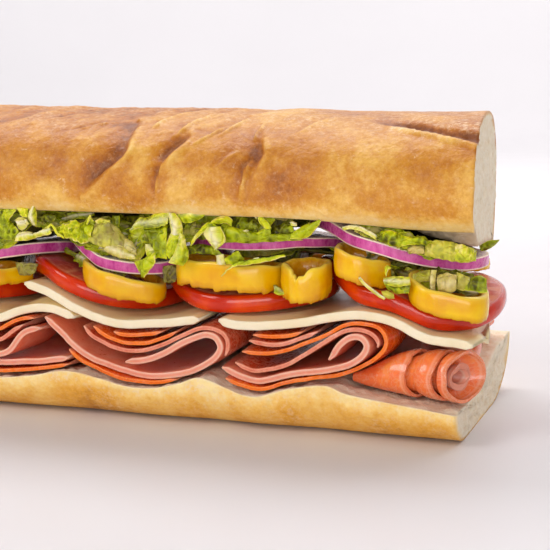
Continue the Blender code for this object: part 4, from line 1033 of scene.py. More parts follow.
# How far a rim stands out, and its height as a share of the thickness
TOMATO_RIM = [(0.2, 0.99), (0.55, 0.93), (0.85, 0.8), (1.0, 0.6), (1.0, 0.4), (0.75, 0.2),
              (0.45, 0.08), (0.15, 0.01)]
ONION_RIM = [(0.15, 0.99), (0.22, 0.93), (0.25, 0.86), (0.25, 0.5), (0.25, 0.14), (0.2, 0.07),
             (0.1, 0.01)]


def make_discs(tomato, onion):
    for k, (mid_x, half_x, profile) in enumerate(TOMATO_SLICES):
        disc(f"tomato_{k + 1}", mid_x, half_x - 0.5, TOMATO_HALF_Y, profile, TOMATO, tomato,
             k, paint_tomato(k), TOMATO_RIM,
             end_tilt if k == len(TOMATO_SLICES) - 1 else None)
    for k, (mid_x, half_x, thick, profile) in enumerate(ONION_SLICES):
        disc(f"onion_{k + 1}", mid_x, half_x - 0.1, ONION_HALF_Y, profile, thick, onion,
             k + 5, paint_onion(k), ONION_RIM)


# The roll and the pepper rings

ROLL_AXIS_Y = -31.0
ROLL_SPOKES, ROLL_STEP, ROLL_HOLE, ROLL_RAG = 110, 0.6, 0.35, 7.0
# Height of the roll's axis, (x, z), then the outside of each slice, (x, radius), its
# thickness, and how far its edge is cut back at the back
ROLL_AXIS = [(60, 15.9), (66, 16.6), (72, 17.7), (78, 18.5), (86, 18.7), (97, 18.4)]
ROLL_SLICES = {
    "roll_cured_1": ([(61.5, 1.2), (66, 2.7), (71, 4.3), (76, 5.6), (80, 6.4), (82.5, 6.7)],
                     0.9, 4.0),
    "roll_cured_2": ([(74, 3.9), (78, 4.7), (82, 5.5), (84, 6.3), (87, 7.0), (91, 7.3)],
                     0.9, 5.0),
    "roll_cured_3": ([(82, 4.0), (86, 4.9), (90, 5.8), (92, 6.9), (94.5, 7.5), (96.4, 7.6)],
                     1.0, 6.4),
}
ROLL_HEART = [(83.5, 1.4), (87, 2.3), (90.5, 3.2), (93.5, 4.0)]
HEART_FORWARD = 1.4       # how far the heart lies in front of the roll's axis


def roll_slice(node, profile, thick, cut_back, material, seed, ragged, axis_y=ROLL_AXIS_Y):
    """A slice rolled round the axis, with a ragged edge at its right end."""
    outer = smooth_path(profile, ROLL_STEP)
    turn = np.linspace(math.pi / 2, -math.pi / 2, 5)[1:-1]
    mid_r, tip_x = outer[-1, 1] - thick / 2, outer[-1, 0] - thick / 2
    tip = np.stack([tip_x + thick / 2 * np.cos(turn), mid_r + thick / 2 * np.sin(turn)], axis=-1)
    inner = outer[::-1] - (0, thick)
    inner[:, 1] = np.maximum(inner[:, 1], ROLL_HOLE)
    outline = np.vstack([outer, tip, inner])
    a = around(ROLL_SPOKES)
    x, r = outline[None, :, 0], outline[None, :, 1]
    near_tip = ease((x - outline[:, 0].max() + ROLL_RAG) / ROLL_RAG)
    rag = ragged * (0.5 * noise(3 * np.cos(a), 3 * np.sin(a), 0, 1.2, seed)
                    + 0.35 * np.sin(3 * a + seed) - 0.35)
    first, final = profile[0][0], profile[-1][0]
    x = x + near_tip * rag - cut_back * (1 - np.cos(a)) / 2 * ease((x - first) / (final - first))
    r = r * (1 + 0.035 * np.sin(2 * a + seed) * near_tip)
    r = r - 0.12 * np.abs(fractal(x, 4 * a, 0, 4.0, seed))
    middle = height(ROLL_AXIS, outline[None, :, 0])
    points = np.stack([x + 0 * a, axis_y + r * np.cos(a), middle + r * np.sin(a)], axis=-1)
    rows, count = points.shape[:2]
    edge = np.zeros((rows, count))
    edge[:, len(outer) - 2:len(outer) + len(tip) + 2] = 1.0
    rind = 0.35 * (near_tip > 0.85) * (1 - edge)
    masks = np.stack([edge, rind + 0 * edge, 0.5 + 0 * edge], axis=-1)
    faces = grid_faces(rows, count, wrap_rows=True, wrap_columns=True)
    make_piece(node + "_slice", [node], settle(points), faces, masks, material, sharp=60)


def make_roll(materials):
    for k, (node, (profile, thick, cut_back)) in enumerate(ROLL_SLICES.items()):
        roll_slice(node, profile, thick, cut_back, materials["roll"], k, 0.9)
    roll_slice("roll_ham", ROLL_HEART, HAM, 3.0, materials["heart"], 7, 0.5,
               ROLL_AXIS_Y - HEART_FORWARD)


PEPPER_SPOKES = 170
PEPPER_TEETH, PEPPER_NOTCHES = 7, 13
# Middle x and y, half lengths in x and y, height of the underside, its slopes along x and y,
# how tall it is, slope of its top along y, how ragged its edges are, and depth of a notch
PEPPER_RINGS = [
    (-51, -29.5, 10.5, 10.5, 37.0, 0.00, 0.02, 5.0, 0.0, 0.5, 0.0),
    (-8.4, -29.0, 11.8, 11.5, 37.3, -0.30, 0.12, 5.2, -0.06, 0.5, 0.0),
    (24.6, -29.3, 15.6, 10.4, 39.4, -0.05, 0.04, 7.4, -0.05, 0.9, 0.0),
    (48.6, -33.4, 6.6, 7.0, 38.4, 0.00, 0.20, 9.2, 0.10, 0.5, 2.6),
    (63.4, -31.5, 7.4, 8.0, 43.7, -0.30, 0.00, 7.6, 0.0, 0.4, 0.0),
    (87.4, -29.8, 10.8, 9.8, 37.2, -0.26, 0.18, 6.8, 0.18, 0.4, 0.0),
    (-64, 27.0, 10.0, 9.5, 37.2, 0.00, 0.00, 5.0, 0.0, 0.5, 0.0),
    (-18.8, 28.0, 7.8, 9.5, 41.4, -0.38, 0.00, 4.2, 0.0, 0.4, 0.0),
    (30.0, 27.0, 13.0, 10.0, 39.2, 0.02, 0.00, 6.6, 0.0, 0.8, 0.0),
    (64.0, 27.5, 9.0, 9.5, 44.4, -0.28, 0.00, 4.2, 0.0, 0.4, 0.0),
    (87.0, 27.0, 8.0, 9.0, 39.6, 0.08, 0.00, 4.4, 0.0, 0.4, 0.0),
]
PEPPER_WALL = 2.4
# Outline of the wall: share of its thickness from outside to inside, and of its height
PEPPER_SECTION = [(0.10, 0.0), (0.02, 0.08), (0.0, 0.25), (-0.06, 0.5), (0.0, 0.75), (0.03, 0.93),
                  (0.14, 1.0), (0.4, 1.02), (0.7, 0.99), (0.92, 0.9), (1.0, 0.7), (1.04, 0.5),
                  (1.0, 0.3), (0.92, 0.1), (0.7, 0.0), (0.4, -0.02)]


def make_peppers(material):
    for k, spec in enumerate(PEPPER_RINGS):
        mid_x, mid_y, half_x, half_y, low, slope_x, slope_y, tall, top_slope, ragged, notch = spec
        seed = k * 1.7
        a = around(PEPPER_SPOKES)
        wavy = 1.0 + 0.05 * np.sin(3 * a + seed) + 0.03 * np.sin(5 * a + 2 * seed)
        inset, up = np.array(PEPPER_SECTION).T[:, None, :]
        lump = 0.12 * noise(4 * np.cos(a), 4 * np.sin(a), 0, 1.0, k)
        x = mid_x + (half_x - inset * PEPPER_WALL * (1 - lump)) * wavy * np.cos(a)
        y = mid_y + (half_y - inset * PEPPER_WALL * (1 - lump)) * wavy * np.sin(a)
        level = low + slope_x * (x - mid_x)
        tooth = ragged * (1.0 + np.sin(PEPPER_TEETH * a + seed)) * 0.5
        saw = 0.5 * ragged * np.abs(noise(10 * np.cos(a), 10 * np.sin(a), 0, 1.0, k + 9))
        from_front = (a - 1.5 * math.pi) / 0.42
        dip = notch * np.exp(-from_front**2) * (1 + 0.25 * noise(9 * a, 0, 0, 1.0, 4))
        notches = 0.9 * ragged * ((PEPPER_NOTCHES * a / (2 * math.pi) + seed) % 1.0)
        ground = level + slope_y * (y - mid_y) + 0.6 * tooth + saw + notches - 0.3 * ragged
        roof = level + tall + top_slope * (y - mid_y) - 0.5 * tooth - dip
        z = lerp(ground, roof, up)
        points = np.stack([x, y, z], axis=-1)
        outside = ease((0.35 - inset) / 0.3) + 0 * a
        # Green: darker towards the bottom outside, and painted shade with the wet membrane on the
        # inner wall
        low_dark = ease((0.25 - up) / 0.3) * 0.6 * outside
        inner = 0.45 * ease((inset - 0.75) / 0.2) + 0 * a
        lip = 0.6 * ease((up - 0.9) / 0.08) * ease((0.75 - inset) / 0.3) + 0 * a
        masks = np.stack([outside, np.maximum(low_dark, inner), lip], axis=-1)
        faces = grid_faces(*points.shape[:2], wrap_rows=True, wrap_columns=True)
        node = f"pepper_{k + 1}"
        make_piece(node + "_ring", [node], settle(points), faces, masks, material)


# The camera, which also places the leaves that are seen from it

CAMERA_PLACE = (0.16960, -0.41905, 0.10750)
CAMERA_AZIMUTH, CAMERA_ELEVATION = 18.6, 8.9
FOCAL_PIXELS, IMAGE_PIXELS, SENSOR = 1481.0, 550.0, 36.0
CLIP_START, CLIP_END = 0.01, 10.0


def camera_axes():
    """The camera's right, up and forward directions."""
    az, el = math.radians(CAMERA_AZIMUTH), math.radians(CAMERA_ELEVATION)
    forward = Vector((-math.sin(az) * math.cos(el), math.cos(az) * math.cos(el), -math.sin(el)))
    right = Vector((math.cos(az), math.sin(az), 0.0))
    return right, right.cross(forward), forward


def seen(across, down, y):
    """Points at depth y, in millimetres, that the camera sees at these places of the picture."""
    right, up, forward = (np.array(v) for v in camera_axes())
    shift_x = (across - IMAGE_PIXELS / 2) / FOCAL_PIXELS
    shift_z = (IMAGE_PIXELS / 2 - down) / FOCAL_PIXELS
    ray = forward + shift_x[..., None] * right + shift_z[..., None] * up
    start = np.array(CAMERA_PLACE) / MM
    return start + ray * ((y - start[1]) / ray[..., 1])[..., None]


# Lettuce

UPPER_HEAPS = [(-84, 35), (72, 91)]
LOWER_HEAPS = [(-80, -52), (9, 77)]
NEAR_SLICE = 5.0          # how far beyond its rim a slice still counts
BARE_PILE, BARE_UNDER, BARE_OVER = 38.0, 46.0, 48.0      # heights where there is no slice
LEAF_THICK = 0.45
SHRED_ALONG, SHRED_ACROSS, SHRED_WAVES = 22, 8, 3.0
BLADE_ACROSS = 16
CORE_ROWS, LETTUCE_SEED = 25, 17
# Mask of the heaps' middles, which the shaded copy paints dark as shade
CORE_MASK = (0.0, 0.3, 0.4)


def over_slice(x, mid_x, half_x):
    """Whether x is over the slice or just beside it."""
    return abs(x - mid_x) < half_x * 1.06 + NEAR_SLICE


def pile_top(x):
    """Top of the tomato slices at x."""
    tops = [height(p, x) + TOMATO for m, r, p in TOMATO_SLICES if over_slice(x, m, r)]
    return max(tops, default=BARE_PILE)


def onion_under(x):
    """Underside of the onion slices at x."""
    lows = [height(p, x) for m, r, _, p in ONION_SLICES if over_slice(x, m, r)]
    return min(lows, default=BARE_UNDER)


def onion_over(x):
    """Top of the onion slices at x."""
    tops = [height(p, x) + t for m, r, t, p in ONION_SLICES if over_slice(x, m, r)]
    return max(tops, default=BARE_OVER)


def top_crumb(x):
    """Underside of the top bread at x."""
    return float(height(TOP_CRUMB, x))


def shifted(level, rise):
    """The heights that level gives, raised."""
    return lambda x: level(x) + rise


def core_mesh(start, stop, half, low, high):
    """The middle of a heap: a bumpy mass between two heights."""
    columns = stop - start
    xs = np.linspace(start, stop, columns)
    base, roof = (np.array([level(v) for v in xs])[:, None] for level in (low, high))
    u = np.linspace(-1, 1, columns)
    reach = half * np.sqrt(np.maximum(1.0 - u**16, 0.15)) * (0.93 + 0.07 * np.sin(xs / 4.3))
    across = np.linspace(-1, 1, CORE_ROWS)[None, :]
    y = across * reach[:, None]
    thin = 0.55 * np.abs(across) ** 3
    x = xs[:, None] + 0 * y
    middle = (base + roof) / 2
    bump = np.abs(fractal(x, y, 0, 4.0, 91))
    under = np.stack([x, y, lerp(base, middle, thin) + 0.4 * bump], axis=-1)
    over = np.stack([x, y, np.maximum(lerp(roof, middle, thin) - bump,
                                      lerp(base, middle, thin) + 0.5 * bump + 0.4)], axis=-1)
    return close_sheet(under, over)


def close_sheet(one, other):
    """Points and faces of a solid between two grids of points."""
    rows, columns = one.shape[:2]
    size = rows * columns
    quads = grid_faces(rows, columns)
    ids = np.arange(size).reshape(rows, columns)
    border = np.concatenate([ids[0, :], ids[1:, -1], ids[-1, -2::-1], ids[-2:0:-1, 0]])
    nxt = np.roll(border, -1)
    side = np.stack([border, nxt, nxt + size, border + size], axis=-1)
    faces = np.concatenate([quads[:, ::-1], quads + size, side])
    return np.concatenate([one.reshape(-1, 3), other.reshape(-1, 3)]), faces


def resampled(path, step, count):
    """So many points, evenly along a smooth curve through the given ones."""
    line = smooth_path(path, step)
    pick = np.linspace(0, len(line) - 1, count)
    return np.stack([np.interp(pick, np.arange(len(line)), part) for part in line.T], axis=-1)


def shred(path, face, width, rng, ruffle, curl, rib, tone, taper):
    """A shred along the path, its broad side towards face.

    ruffle is how far its edges wave, curl how it cups, rib how broad its pale rib is.
    """
    line = resampled(path, 0.3, SHRED_ALONG)
    run = np.gradient(line, axis=0)
    run /= np.linalg.norm(run, axis=1, keepdims=True)
    side = np.cross(run, face)
    side /= np.linalg.norm(side, axis=1, keepdims=True)
    normal = np.cross(side, run)
    t, s = np.linspace(0, 1, SHRED_ALONG)[:, None], np.linspace(-1, 1, SHRED_ACROSS)[None, :]
    seed = int(rng.integers(10000))
    shape = (1 - taper) + taper * np.sin(math.pi * (0.12 + 0.76 * t)) ** 0.8
    nick = 1 + 0.28 * fractal(t * 9, s * 0.7, 0, 1.0, seed, 3) * ease(np.abs(s) * 1.4 - 0.3)
    half = width / 2 * shape * nick
    phase = rng.uniform(0, 6.28)
    waves = np.sin(2 * math.pi * SHRED_WAVES * t + phase + 1.3 * s) + 0.5 * np.sin(
        2 * math.pi * SHRED_WAVES * 2.3 * t + 2 * phase - s)
    lift = (curl * half * (s**2 - 0.3) + ruffle * np.abs(s) ** 1.6 * waves * 0.6
            + 0.35 * ruffle * fractal(t * 5, s * 1.2, 0, 1.0, seed + 7, 3))
    spread = half * s * (1 - 0.12 * np.abs(s) * ruffle)
    points = (line[:, None, :] + side[:, None, :] * spread[..., None]
              + normal[:, None, :] * lift[..., None])
    grown = LEAF_THICK / 2 * (1 + 1.6 * rib * np.exp(-(s / 0.2) ** 2)) * (1 - 0.5 * np.abs(s) ** 3)
    shift = normal[:, None, :] * grown[..., None]
    verts, faces = close_sheet(points - shift, points + shift)
    ribbed = np.clip(rib * np.exp(-((s + 0.1 * np.sin(5 * t)) / 0.22) ** 2) + 0 * t, 0, 1)
    tan = 0.5 * ease((noise(t * 2, s, 0, 1.0, seed + 2) - 0.2) / 0.4)
    # A painted highlight along the edges
    edge_highlight = 0.15 * ease((np.abs(s) - 0.8) / 0.15)
    shade = np.clip(tone + edge_highlight + 0.14 * noise(t * 4, s, 0, 1.0, seed + 4), 0, 1)
    one = np.stack([ribbed, tan + 0 * shade, shade], axis=-1).reshape(-1, 3)
    return verts, faces, np.concatenate([one, one])


def join(parts):
    """One mesh from several (points, faces, masks)."""
    points, faces, masks, base = [], [], [], 0
    for p, f, m in parts:
        points.append(p)
        faces.append(f + base)
        masks.append(m)
        base += len(p)
    return np.concatenate(points), np.concatenate(faces), np.concatenate(masks)


def blade(one, other, depth, rng, tone=(0.6, 0.6), rib=0.0, rib_at=0.5, tan=0.0, bulge=1.0,
          ruffle=0.5, outline=0.3, along=44):
    """A leaf between two edges, each a line of places in the picture.

    depth is y at each edge, and tone how pale it is there, from dark to pale, partly painted shade.
    rib, rib_at and tan are its pale rib and wilted parts, bulge and ruffle its form, outline a
    painted highlight along its edges. The crests of its waves are painted lighter and its crinkles
    darker.
    """
    edges = [seen(*resampled(line, 0.4, along).T, y) for line, y in zip((one, other), depth)]
    t, s = np.linspace(0, 1, along)[:, None], np.linspace(0, 1, BLADE_ACROSS)[None, :]
    grid = edges[0][:, None, :] * (1 - s[..., None]) + edges[1][:, None, :] * s[..., None]
    seed = int(rng.integers(10000))
    run, side = np.gradient(grid, axis=0), np.gradient(grid, axis=1)
    normal = np.cross(run, side)
    normal /= np.maximum(np.linalg.norm(normal, axis=-1, keepdims=True), 1e-6)
    normal *= -np.sign(normal[..., 1].mean())
    u, v = grid[..., 0], grid[..., 2]
    wavy = fractal(u, v, 0, 3.4, seed, 3) + 0.6 * np.abs(noise(u, v, 0, 1.5, seed + 5))
    rim = np.abs(2 * s - 1) ** 2
    lift = bulge * np.sin(math.pi * s) * np.sin(math.pi * np.clip(t, 0.05, 0.95)) ** 0.5
    crinkle = np.abs(fractal(1.3 * u, v, 6, 1.9, seed + 7, 2))
    lift = lift + ruffle * ((0.5 + 0.7 * rim) * wavy - 0.75 * crinkle)
    across_way = side / np.maximum(np.linalg.norm(side, axis=-1, keepdims=True), 1e-6)
    jag = 0.35 * ruffle * (2 * s - 1) * fractal(u, v, 3, 1.1, seed + 9, 2)
    points = grid + normal * lift[..., None] + across_way * jag[..., None]
    half = LEAF_THICK / 2 * (1 - 0.5 * rim) * (1 + rib * np.exp(-((s - rib_at) / 0.2) ** 2)) + 0 * t
    verts, faces = close_sheet(points - normal * half[..., None], points + normal * half[..., None])
    if np.dot(np.cross(run[3, 3], side[3, 3]), normal[3, 3]) > 0:
        faces = faces[:, ::-1]
    ribbed = np.clip(rib * np.exp(-((s - rib_at + 0.06 * np.sin(6 * t)) / 0.24) ** 2), 0, 1)
    # A painted highlight along the edges
    thin_edge_highlight = ease((np.abs(2 * s - 1) - 0.84) / 0.12)
    shade = lerp(tone[0], tone[1], s) + 0.12 * noise(u, v, 0, 2.4, seed + 4)
    # Painted light and shade: the crests of the waves lighter and the crinkles darker
    shade = shade + min(1.0, 2 * ruffle) * (0.16 * wavy - 0.34 * crinkle + 0.06)
    shade = np.clip(shade + outline * thin_edge_highlight, 0, 1)
    masks = np.stack([ribbed, tan + 0 * shade, shade], axis=-1).reshape(-1, 3)
    return verts, faces, np.concatenate([masks, masks])


# Leaves as the photograph shows them: the upper and lower edge, or left and right edge, of
# each as places in the picture, its y at both, and its looks
# Their tones are partly each leaf's own green and partly painted light and shade; the darkest
# leaves stand for shade
SEEN_LEAVES = [
    # the arm, blade and lobes in the middle
    ([(131, 230.5), (139, 218), (146, 217.5), (158.5, 212.8), (169, 211.8)],
     [(131, 231), (139, 228.4), (146, 228.6), (156, 227.6), (169, 224.5)], (-39.5, -40.5),
     dict(tone=(0.78, 0.66), rib=0.5, rib_at=0.55, bulge=1.2, ruffle=0.5)),
    ([(144, 228), (150, 226.5), (158, 225.5), (168, 224)],
     [(149.5, 246), (152, 252), (158, 257), (168, 259)], (-38.6, -40.6),
     dict(tone=(0.46, 0.42), bulge=1.4, ruffle=0.8, outline=0.2)),
    ([(167.5, 212.5), (169.6, 222), (171, 233), (169, 240)],
     [(175, 213), (181.5, 222), (183, 233), (182, 240)], (-41.0, -40.8),
     dict(tone=(0.9, 0.8), rib=0.8, rib_at=0.35, bulge=0.9, ruffle=0.2)),
    ([(171.5, 231.5), (166.8, 243), (165.3, 252), (168.8, 257.5)],
     [(179, 232), (179, 241), (175.5, 250), (171.5, 259)], (-41.2, -41.6),
     dict(tone=(0.84, 0.62), bulge=0.8, ruffle=0.3)),
    ([(180, 233), (177.5, 243), (174, 253), (168.5, 262.5)],
     [(183.5, 236), (187.3, 247), (188.8, 257), (183.5, 265.5)], (-42.0, -41.0),
     dict(tone=(0.78, 0.72), bulge=0.9, ruffle=0.45, rib=0.2, rib_at=0.1)),
    ([(174.5, 212.6), (182, 212), (194, 212.5), (206, 214)],
     [(176, 217), (185.5, 223.4), (197.5, 220.4), (206, 215)], (-39.5, -39.6),
     dict(tone=(0.66, 0.44), rib=0.5, rib_at=0.0, bulge=0.8, ruffle=0.4)),
    ([(146, 244.5), (150, 244.8), (156.5, 249)], [(147, 256), (151, 257), (154, 254.5)],
     (-40.4, -41.2), dict(tone=(0.85, 0.6), rib=0.6, rib_at=0.3, bulge=0.8, ruffle=0.4)),
    ([(134, 262.2), (138.5, 271.5), (142.6, 277)], [(155, 254.6), (153.6, 266), (143.2, 277.2)],
     (-41.4, -42.2), dict(tone=(0.66, 0.56), bulge=1.0, ruffle=0.35, outline=0.4)),
    ([(144, 258), (149, 255), (156, 253)], [(146, 262), (151, 262), (157, 258)],
     (-40.6, -41.4), dict(tone=(0.6, 0.5), bulge=0.6, ruffle=0.5)),
    # the arm, curl and pale point to its right
    ([(189.8, 245.6), (194, 237.6), (200, 229.8), (206, 223), (212, 222)],
     [(191.4, 246), (198, 238.6), (203, 233), (210, 228.5), (217, 226)], (-40.6, -41.0),
     dict(tone=(0.76, 0.62), bulge=0.7, ruffle=0.35, outline=0.35)),
    ([(209.5, 223.6), (215, 218.8), (221, 216.3), (228, 216.3), (233, 220)],
     [(213, 225), (219, 224), (224, 223), (228.5, 224.5), (231.5, 227)], (-40.0, -40.4),
     dict(tone=(0.82, 0.6), bulge=1.6, ruffle=0.35, outline=0.35)),
    ([(207.6, 227), (203.6, 233.6), (208, 241), (215.2, 249.6)],
     [(220, 226.4), (224.5, 235), (225.4, 242), (216, 249.8)], (-41.6, -41.2),
     dict(tone=(0.92, 0.8), rib=0.75, rib_at=0.45, bulge=0.7, ruffle=0.2, outline=0.2)),
    ([(221, 222), (233, 226.5), (245, 229.5), (262, 233.5), (282, 233), (298, 232.5)],
     [(224, 243), (235, 242.5), (248, 243), (262, 241.8), (284, 241), (303, 240.3)],
     (-38.4, -39.4), dict(tone=(0.56, 0.5), bulge=1.2, ruffle=0.4, outline=0.22)),
    ([(294, 233), (302.5, 226.6), (309, 223.8), (316, 221.8), (321, 220.8)],
     [(290, 239), (302, 239), (309.5, 236.4), (313.4, 231.6), (321, 221.4)], (-39.2, -40.2),
     dict(tone=(0.5, 0.62), bulge=1.2, ruffle=0.3, outline=0.35)),
    ([(259.4, 215.4), (259, 220.8), (263, 226), (267, 229)],
     [(260.4, 215.4), (265.4, 219.6), (270, 224.6), (272, 228)], (-39.4, -39.6),
     dict(tone=(0.82, 0.66), bulge=0.5, ruffle=0.3, outline=0.3)),
    ([(256, 233.4), (263, 229), (271, 226.6)], [(258, 235.6), (265, 236.6), (271, 236)],
     (-39.0, -39.6), dict(tone=(0.62, 0.5), bulge=0.6, ruffle=0.4)),
    ([(272, 228), (278, 224.6), (285, 222.6), (292, 223)],
     [(271, 237), (279, 237.4), (287, 236.6), (296, 233.6)], (-37.4, -38.4),
     dict(tone=(0.36, 0.24), bulge=1.0, ruffle=0.5, outline=0.1)),
    ([(289.6, 222.2), (293, 221.4), (297, 223)], [(291, 225), (294, 226.6), (297, 226.4)],
     (-38.8, -39.4), dict(tone=(0.95, 0.95), rib=1.0, bulge=0.7, ruffle=0.2)),
    ([(236, 218), (243, 215.8), (252, 217), (259, 219)],
     [(236, 230), (243, 231), (252, 230), (258, 230.6)], (-36.6, -37.6),
     dict(tone=(0.16, 0.3), bulge=1.0, ruffle=0.8, outline=0.2)),
    ([(243.6, 230.6), (246.6, 229), (248.6, 230)], [(244, 232), (246.6, 232.4), (248.6, 231.6)],
     (-39.0, -39.2), dict(tone=(0.95, 0.95), rib=0.8, bulge=0.4, ruffle=0.2)),
    ([(255, 216.6), (257, 215.8), (258, 217.4)], [(255, 218.4), (256.6, 219.4), (258, 218.6)],
     (-38.6, -38.8), dict(tone=(0.9, 0.9), rib=0.6, bulge=0.3, ruffle=0.2)),
    # under the third onion slice
    ([(215, 255.4), (216, 259), (217, 264)], [(223.6, 254), (224.4, 259), (224.8, 265)],
     (-39.0, -39.6), dict(tone=(0.9, 0.9), rib=0.9, bulge=0.8, ruffle=0.3)),
    ([(224.6, 257.2), (231, 254.6), (239, 251)], [(226, 264), (234, 264.6), (243.6, 259)],
     (-39.8, -40.6), dict(tone=(0.56, 0.7), bulge=1.0, ruffle=0.6)),
    ([(236, 262), (246, 259.8), (262, 258.2), (274, 256), (284, 255.4)],
     [(221.6, 276.4), (232, 267.6), (245, 265), (262, 262), (286, 257)], (-40.0, -41.0),
     dict(tone=(0.4, 0.78), bulge=0.6, ruffle=0.3, outline=0.3)),
    ([(253, 258.6), (256, 257.4), (259, 257.6)], [(254, 260), (257, 259.8), (260, 258.6)],
     (-40.2, -40.4), dict(tone=(0.9, 0.9), rib=0.8, bulge=0.3, ruffle=0.1)),
    ([(273, 284.6), (276, 284.2), (281, 288)], [(275, 291), (279, 294.6), (285.6, 294)],
     (-36.0, -37.5), dict(tone=(0.5, 0.7), rib=0.3, bulge=0.7, ruffle=0.4)),
    # on the fourth onion slice
    ([(342, 227.6), (350, 225.8), (361, 227.2), (373, 232), (377, 236)],
     [(343, 229.4), (351, 229), (361, 231.6), (371, 236), (376, 239)], (-37.0, -38.4),
     dict(tone=(0.95, 0.95), rib=0.9, bulge=0.4, ruffle=0.15)),
    ([(377, 234.6), (383.5, 230.8), (392, 230.6), (400, 234.6)],
     [(379, 239.4), (388, 244.6), (396, 246.6), (402, 247)], (-37.6, -38.8),
     dict(tone=(0.72, 0.4), bulge=1.2, ruffle=0.6)),
    ([(398.6, 234.6), (410, 236.6), (424, 235.6), (428.4, 240)],
     [(400.6, 246.6), (410, 245), (418, 243.6), (427, 245)], (-37.6, -38.6),
     dict(tone=(0.74, 0.6), bulge=1.0, ruffle=0.5)),
    ([(408, 247), (414, 244.6), (424, 247)], [(408, 253), (416, 254), (424.6, 253.4)],
     (-37.4, -38.2), dict(tone=(0.8, 0.8), tan=0.85, bulge=0.8, ruffle=0.3)),
    ([(427, 240.6), (440, 240.8), (452, 242), (465, 246), (477, 250)],
     [(424, 255), (440, 259), (456, 262), (468, 262.6), (476, 261.6)], (-35.4, -36.6),
     dict(tone=(0.62, 0.68), tan=0.35, bulge=1.2, ruffle=0.6, outline=0.1)),
    ([(456, 246), (463, 244), (474, 250)], [(455, 261), (464, 262), (474.6, 260.6)],
     (-36.4, -37.4), dict(tone=(0.82, 0.72), tan=0.1, bulge=0.9, ruffle=0.5)),
    ([(479.4, 245.2), (485, 242.2), (492, 240.2), (499.6, 239.6)],
     [(480.6, 250.8), (487, 250.2), (493, 246.6), (499.4, 240.6)], (-20.0, -20.0),
     dict(tone=(0.3, 0.4), bulge=0.8, ruffle=0.4, outline=0.45)),
    # between the fourth onion and tomato slices
    ([(384.6, 267.4), (387.4, 265), (391.4, 268)], [(386, 277), (388, 269), (390, 269.6)],
     (-38.0, -38.4), dict(tone=(0.9, 0.9), bulge=0.3, ruffle=0.1)),
    ([(383.4, 277.4), (396, 276.2), (410, 276.8)], [(384, 284), (396, 287), (410.6, 285)],
     (-38.6, -39.2), dict(tone=(0.86, 0.78), rib=0.6, bulge=1.0, ruffle=0.35)),
    ([(384, 283), (396, 285.6), (411, 283.6)], [(388, 290), (398, 294), (409, 293)],
     (-38.2, -38.4), dict(tone=(0.5, 0.56), bulge=0.8, ruffle=0.5)),
    ([(358.6, 276.6), (366, 283.2), (379, 293), (386, 298)],
     [(360, 279.6), (366, 287), (377, 295.6), (384, 299.6)], (-39.4, -40.0),
     dict(tone=(0.95, 0.95), rib=0.9, bulge=0.4, ruffle=0.15)),
    ([(381.6, 291), (388, 290.6), (394, 294)], [(383, 296), (389, 299), (394.6, 298.6)],
     (-39.6, -40.0), dict(tone=(0.7, 0.6), tan=0.4, bulge=1.2, ruffle=0.1, outline=0.0)),
    ([(413, 274), (422, 270.6), (430, 270)], [(414, 284), (422, 282), (431, 281)],
     (-34.6, -35.4), dict(tone=(0.5, 0.6), tan=0.4, bulge=1.0, ruffle=0.5)),
    ([(430.4, 270), (430, 280), (430.6, 292)], [(436, 270), (435.6, 280), (435, 292)],
     (-35.6, -36.2), dict(tone=(0.9, 0.9), tan=0.6, rib=0.3, bulge=0.8, ruffle=0.2, outline=0)),
    ([(437, 276), (446, 272.6), (457, 275)], [(438, 291), (446, 296), (456, 290)],
     (-35.6, -36.2), dict(tone=(0.9, 0.9), tan=0.75, rib=0.2, bulge=1.4, ruffle=0.5, outline=0)),
    ([(457, 272), (464, 275), (470, 278)], [(456, 288), (462, 291), (470, 289)],
     (-34.8, -35.4), dict(tone=(0.5, 0.6), tan=0.5, bulge=0.9, ruffle=0.4)),
    ([(463, 284), (472, 277.4), (480, 275.2), (486.6, 279)],
     [(464, 290), (473, 291), (481, 293), (487, 292)], (-35.0, -35.8),
     dict(tone=(0.34, 0.5), bulge=1.0, ruffle=0.45)),
    # at the left
    ([(-6, 214), (4, 209), (16, 206.8), (18, 209)], [(-6, 232), (3, 226), (12, 216), (17, 212)],
     (-38.0, -39.0), dict(tone=(0.5, 0.56), bulge=1.0, ruffle=0.6)),
    ([(16.4, 206.6), (22, 206), (29, 206.6)], [(18.6, 212.6), (23, 217), (28, 217.6)],
     (-39.4, -40.0), dict(tone=(0.72, 0.66), bulge=0.8, ruffle=0.6)),
    ([(14.8, 220), (20.6, 217), (27, 218.6)], [(17, 225), (22, 230.4), (29.4, 223.6)],
     (-39.8, -40.6), dict(tone=(1.0, 1.0), rib=1.0, bulge=1.6, ruffle=0.4)),
    ([(32, 205), (28.4, 213.6), (28.6, 219), (33, 225)],
     [(35.4, 205), (36.8, 214), (36.8, 220), (36.6, 226)], (-40.4, -39.8),
     dict(tone=(0.95, 0.85), rib=0.9, rib_at=0.35, bulge=0.8, ruffle=0.15)),
    ([(0, 222), (8, 220), (15, 226), (19, 232)], [(-6, 240), (4, 240), (12, 240), (17, 240)],
     (-38.4, -39.4), dict(tone=(0.62, 0.3), bulge=1.0, ruffle=0.8)),
    ([(19.6, 233), (28, 231), (37, 233.4), (45, 228), (50, 227)],
     [(15.6, 241.6), (27, 240.4), (40, 236), (47, 235.6), (51.6, 232.6)], (-39.8, -40.6),
     dict(tone=(0.9, 0.86), rib=0.8, rib_at=0.4, bulge=1.0, ruffle=0.35)),
    ([(47, 227), (51, 223.4), (54.8, 226.6), (58, 232), (64, 237)],
     [(48.4, 229), (51.4, 225.6), (54, 229.6), (57, 234.6), (64, 239)], (-40.6, -40.4),
     dict(tone=(0.9, 0.9), bulge=0.2, ruffle=0.1, outline=0.2)),
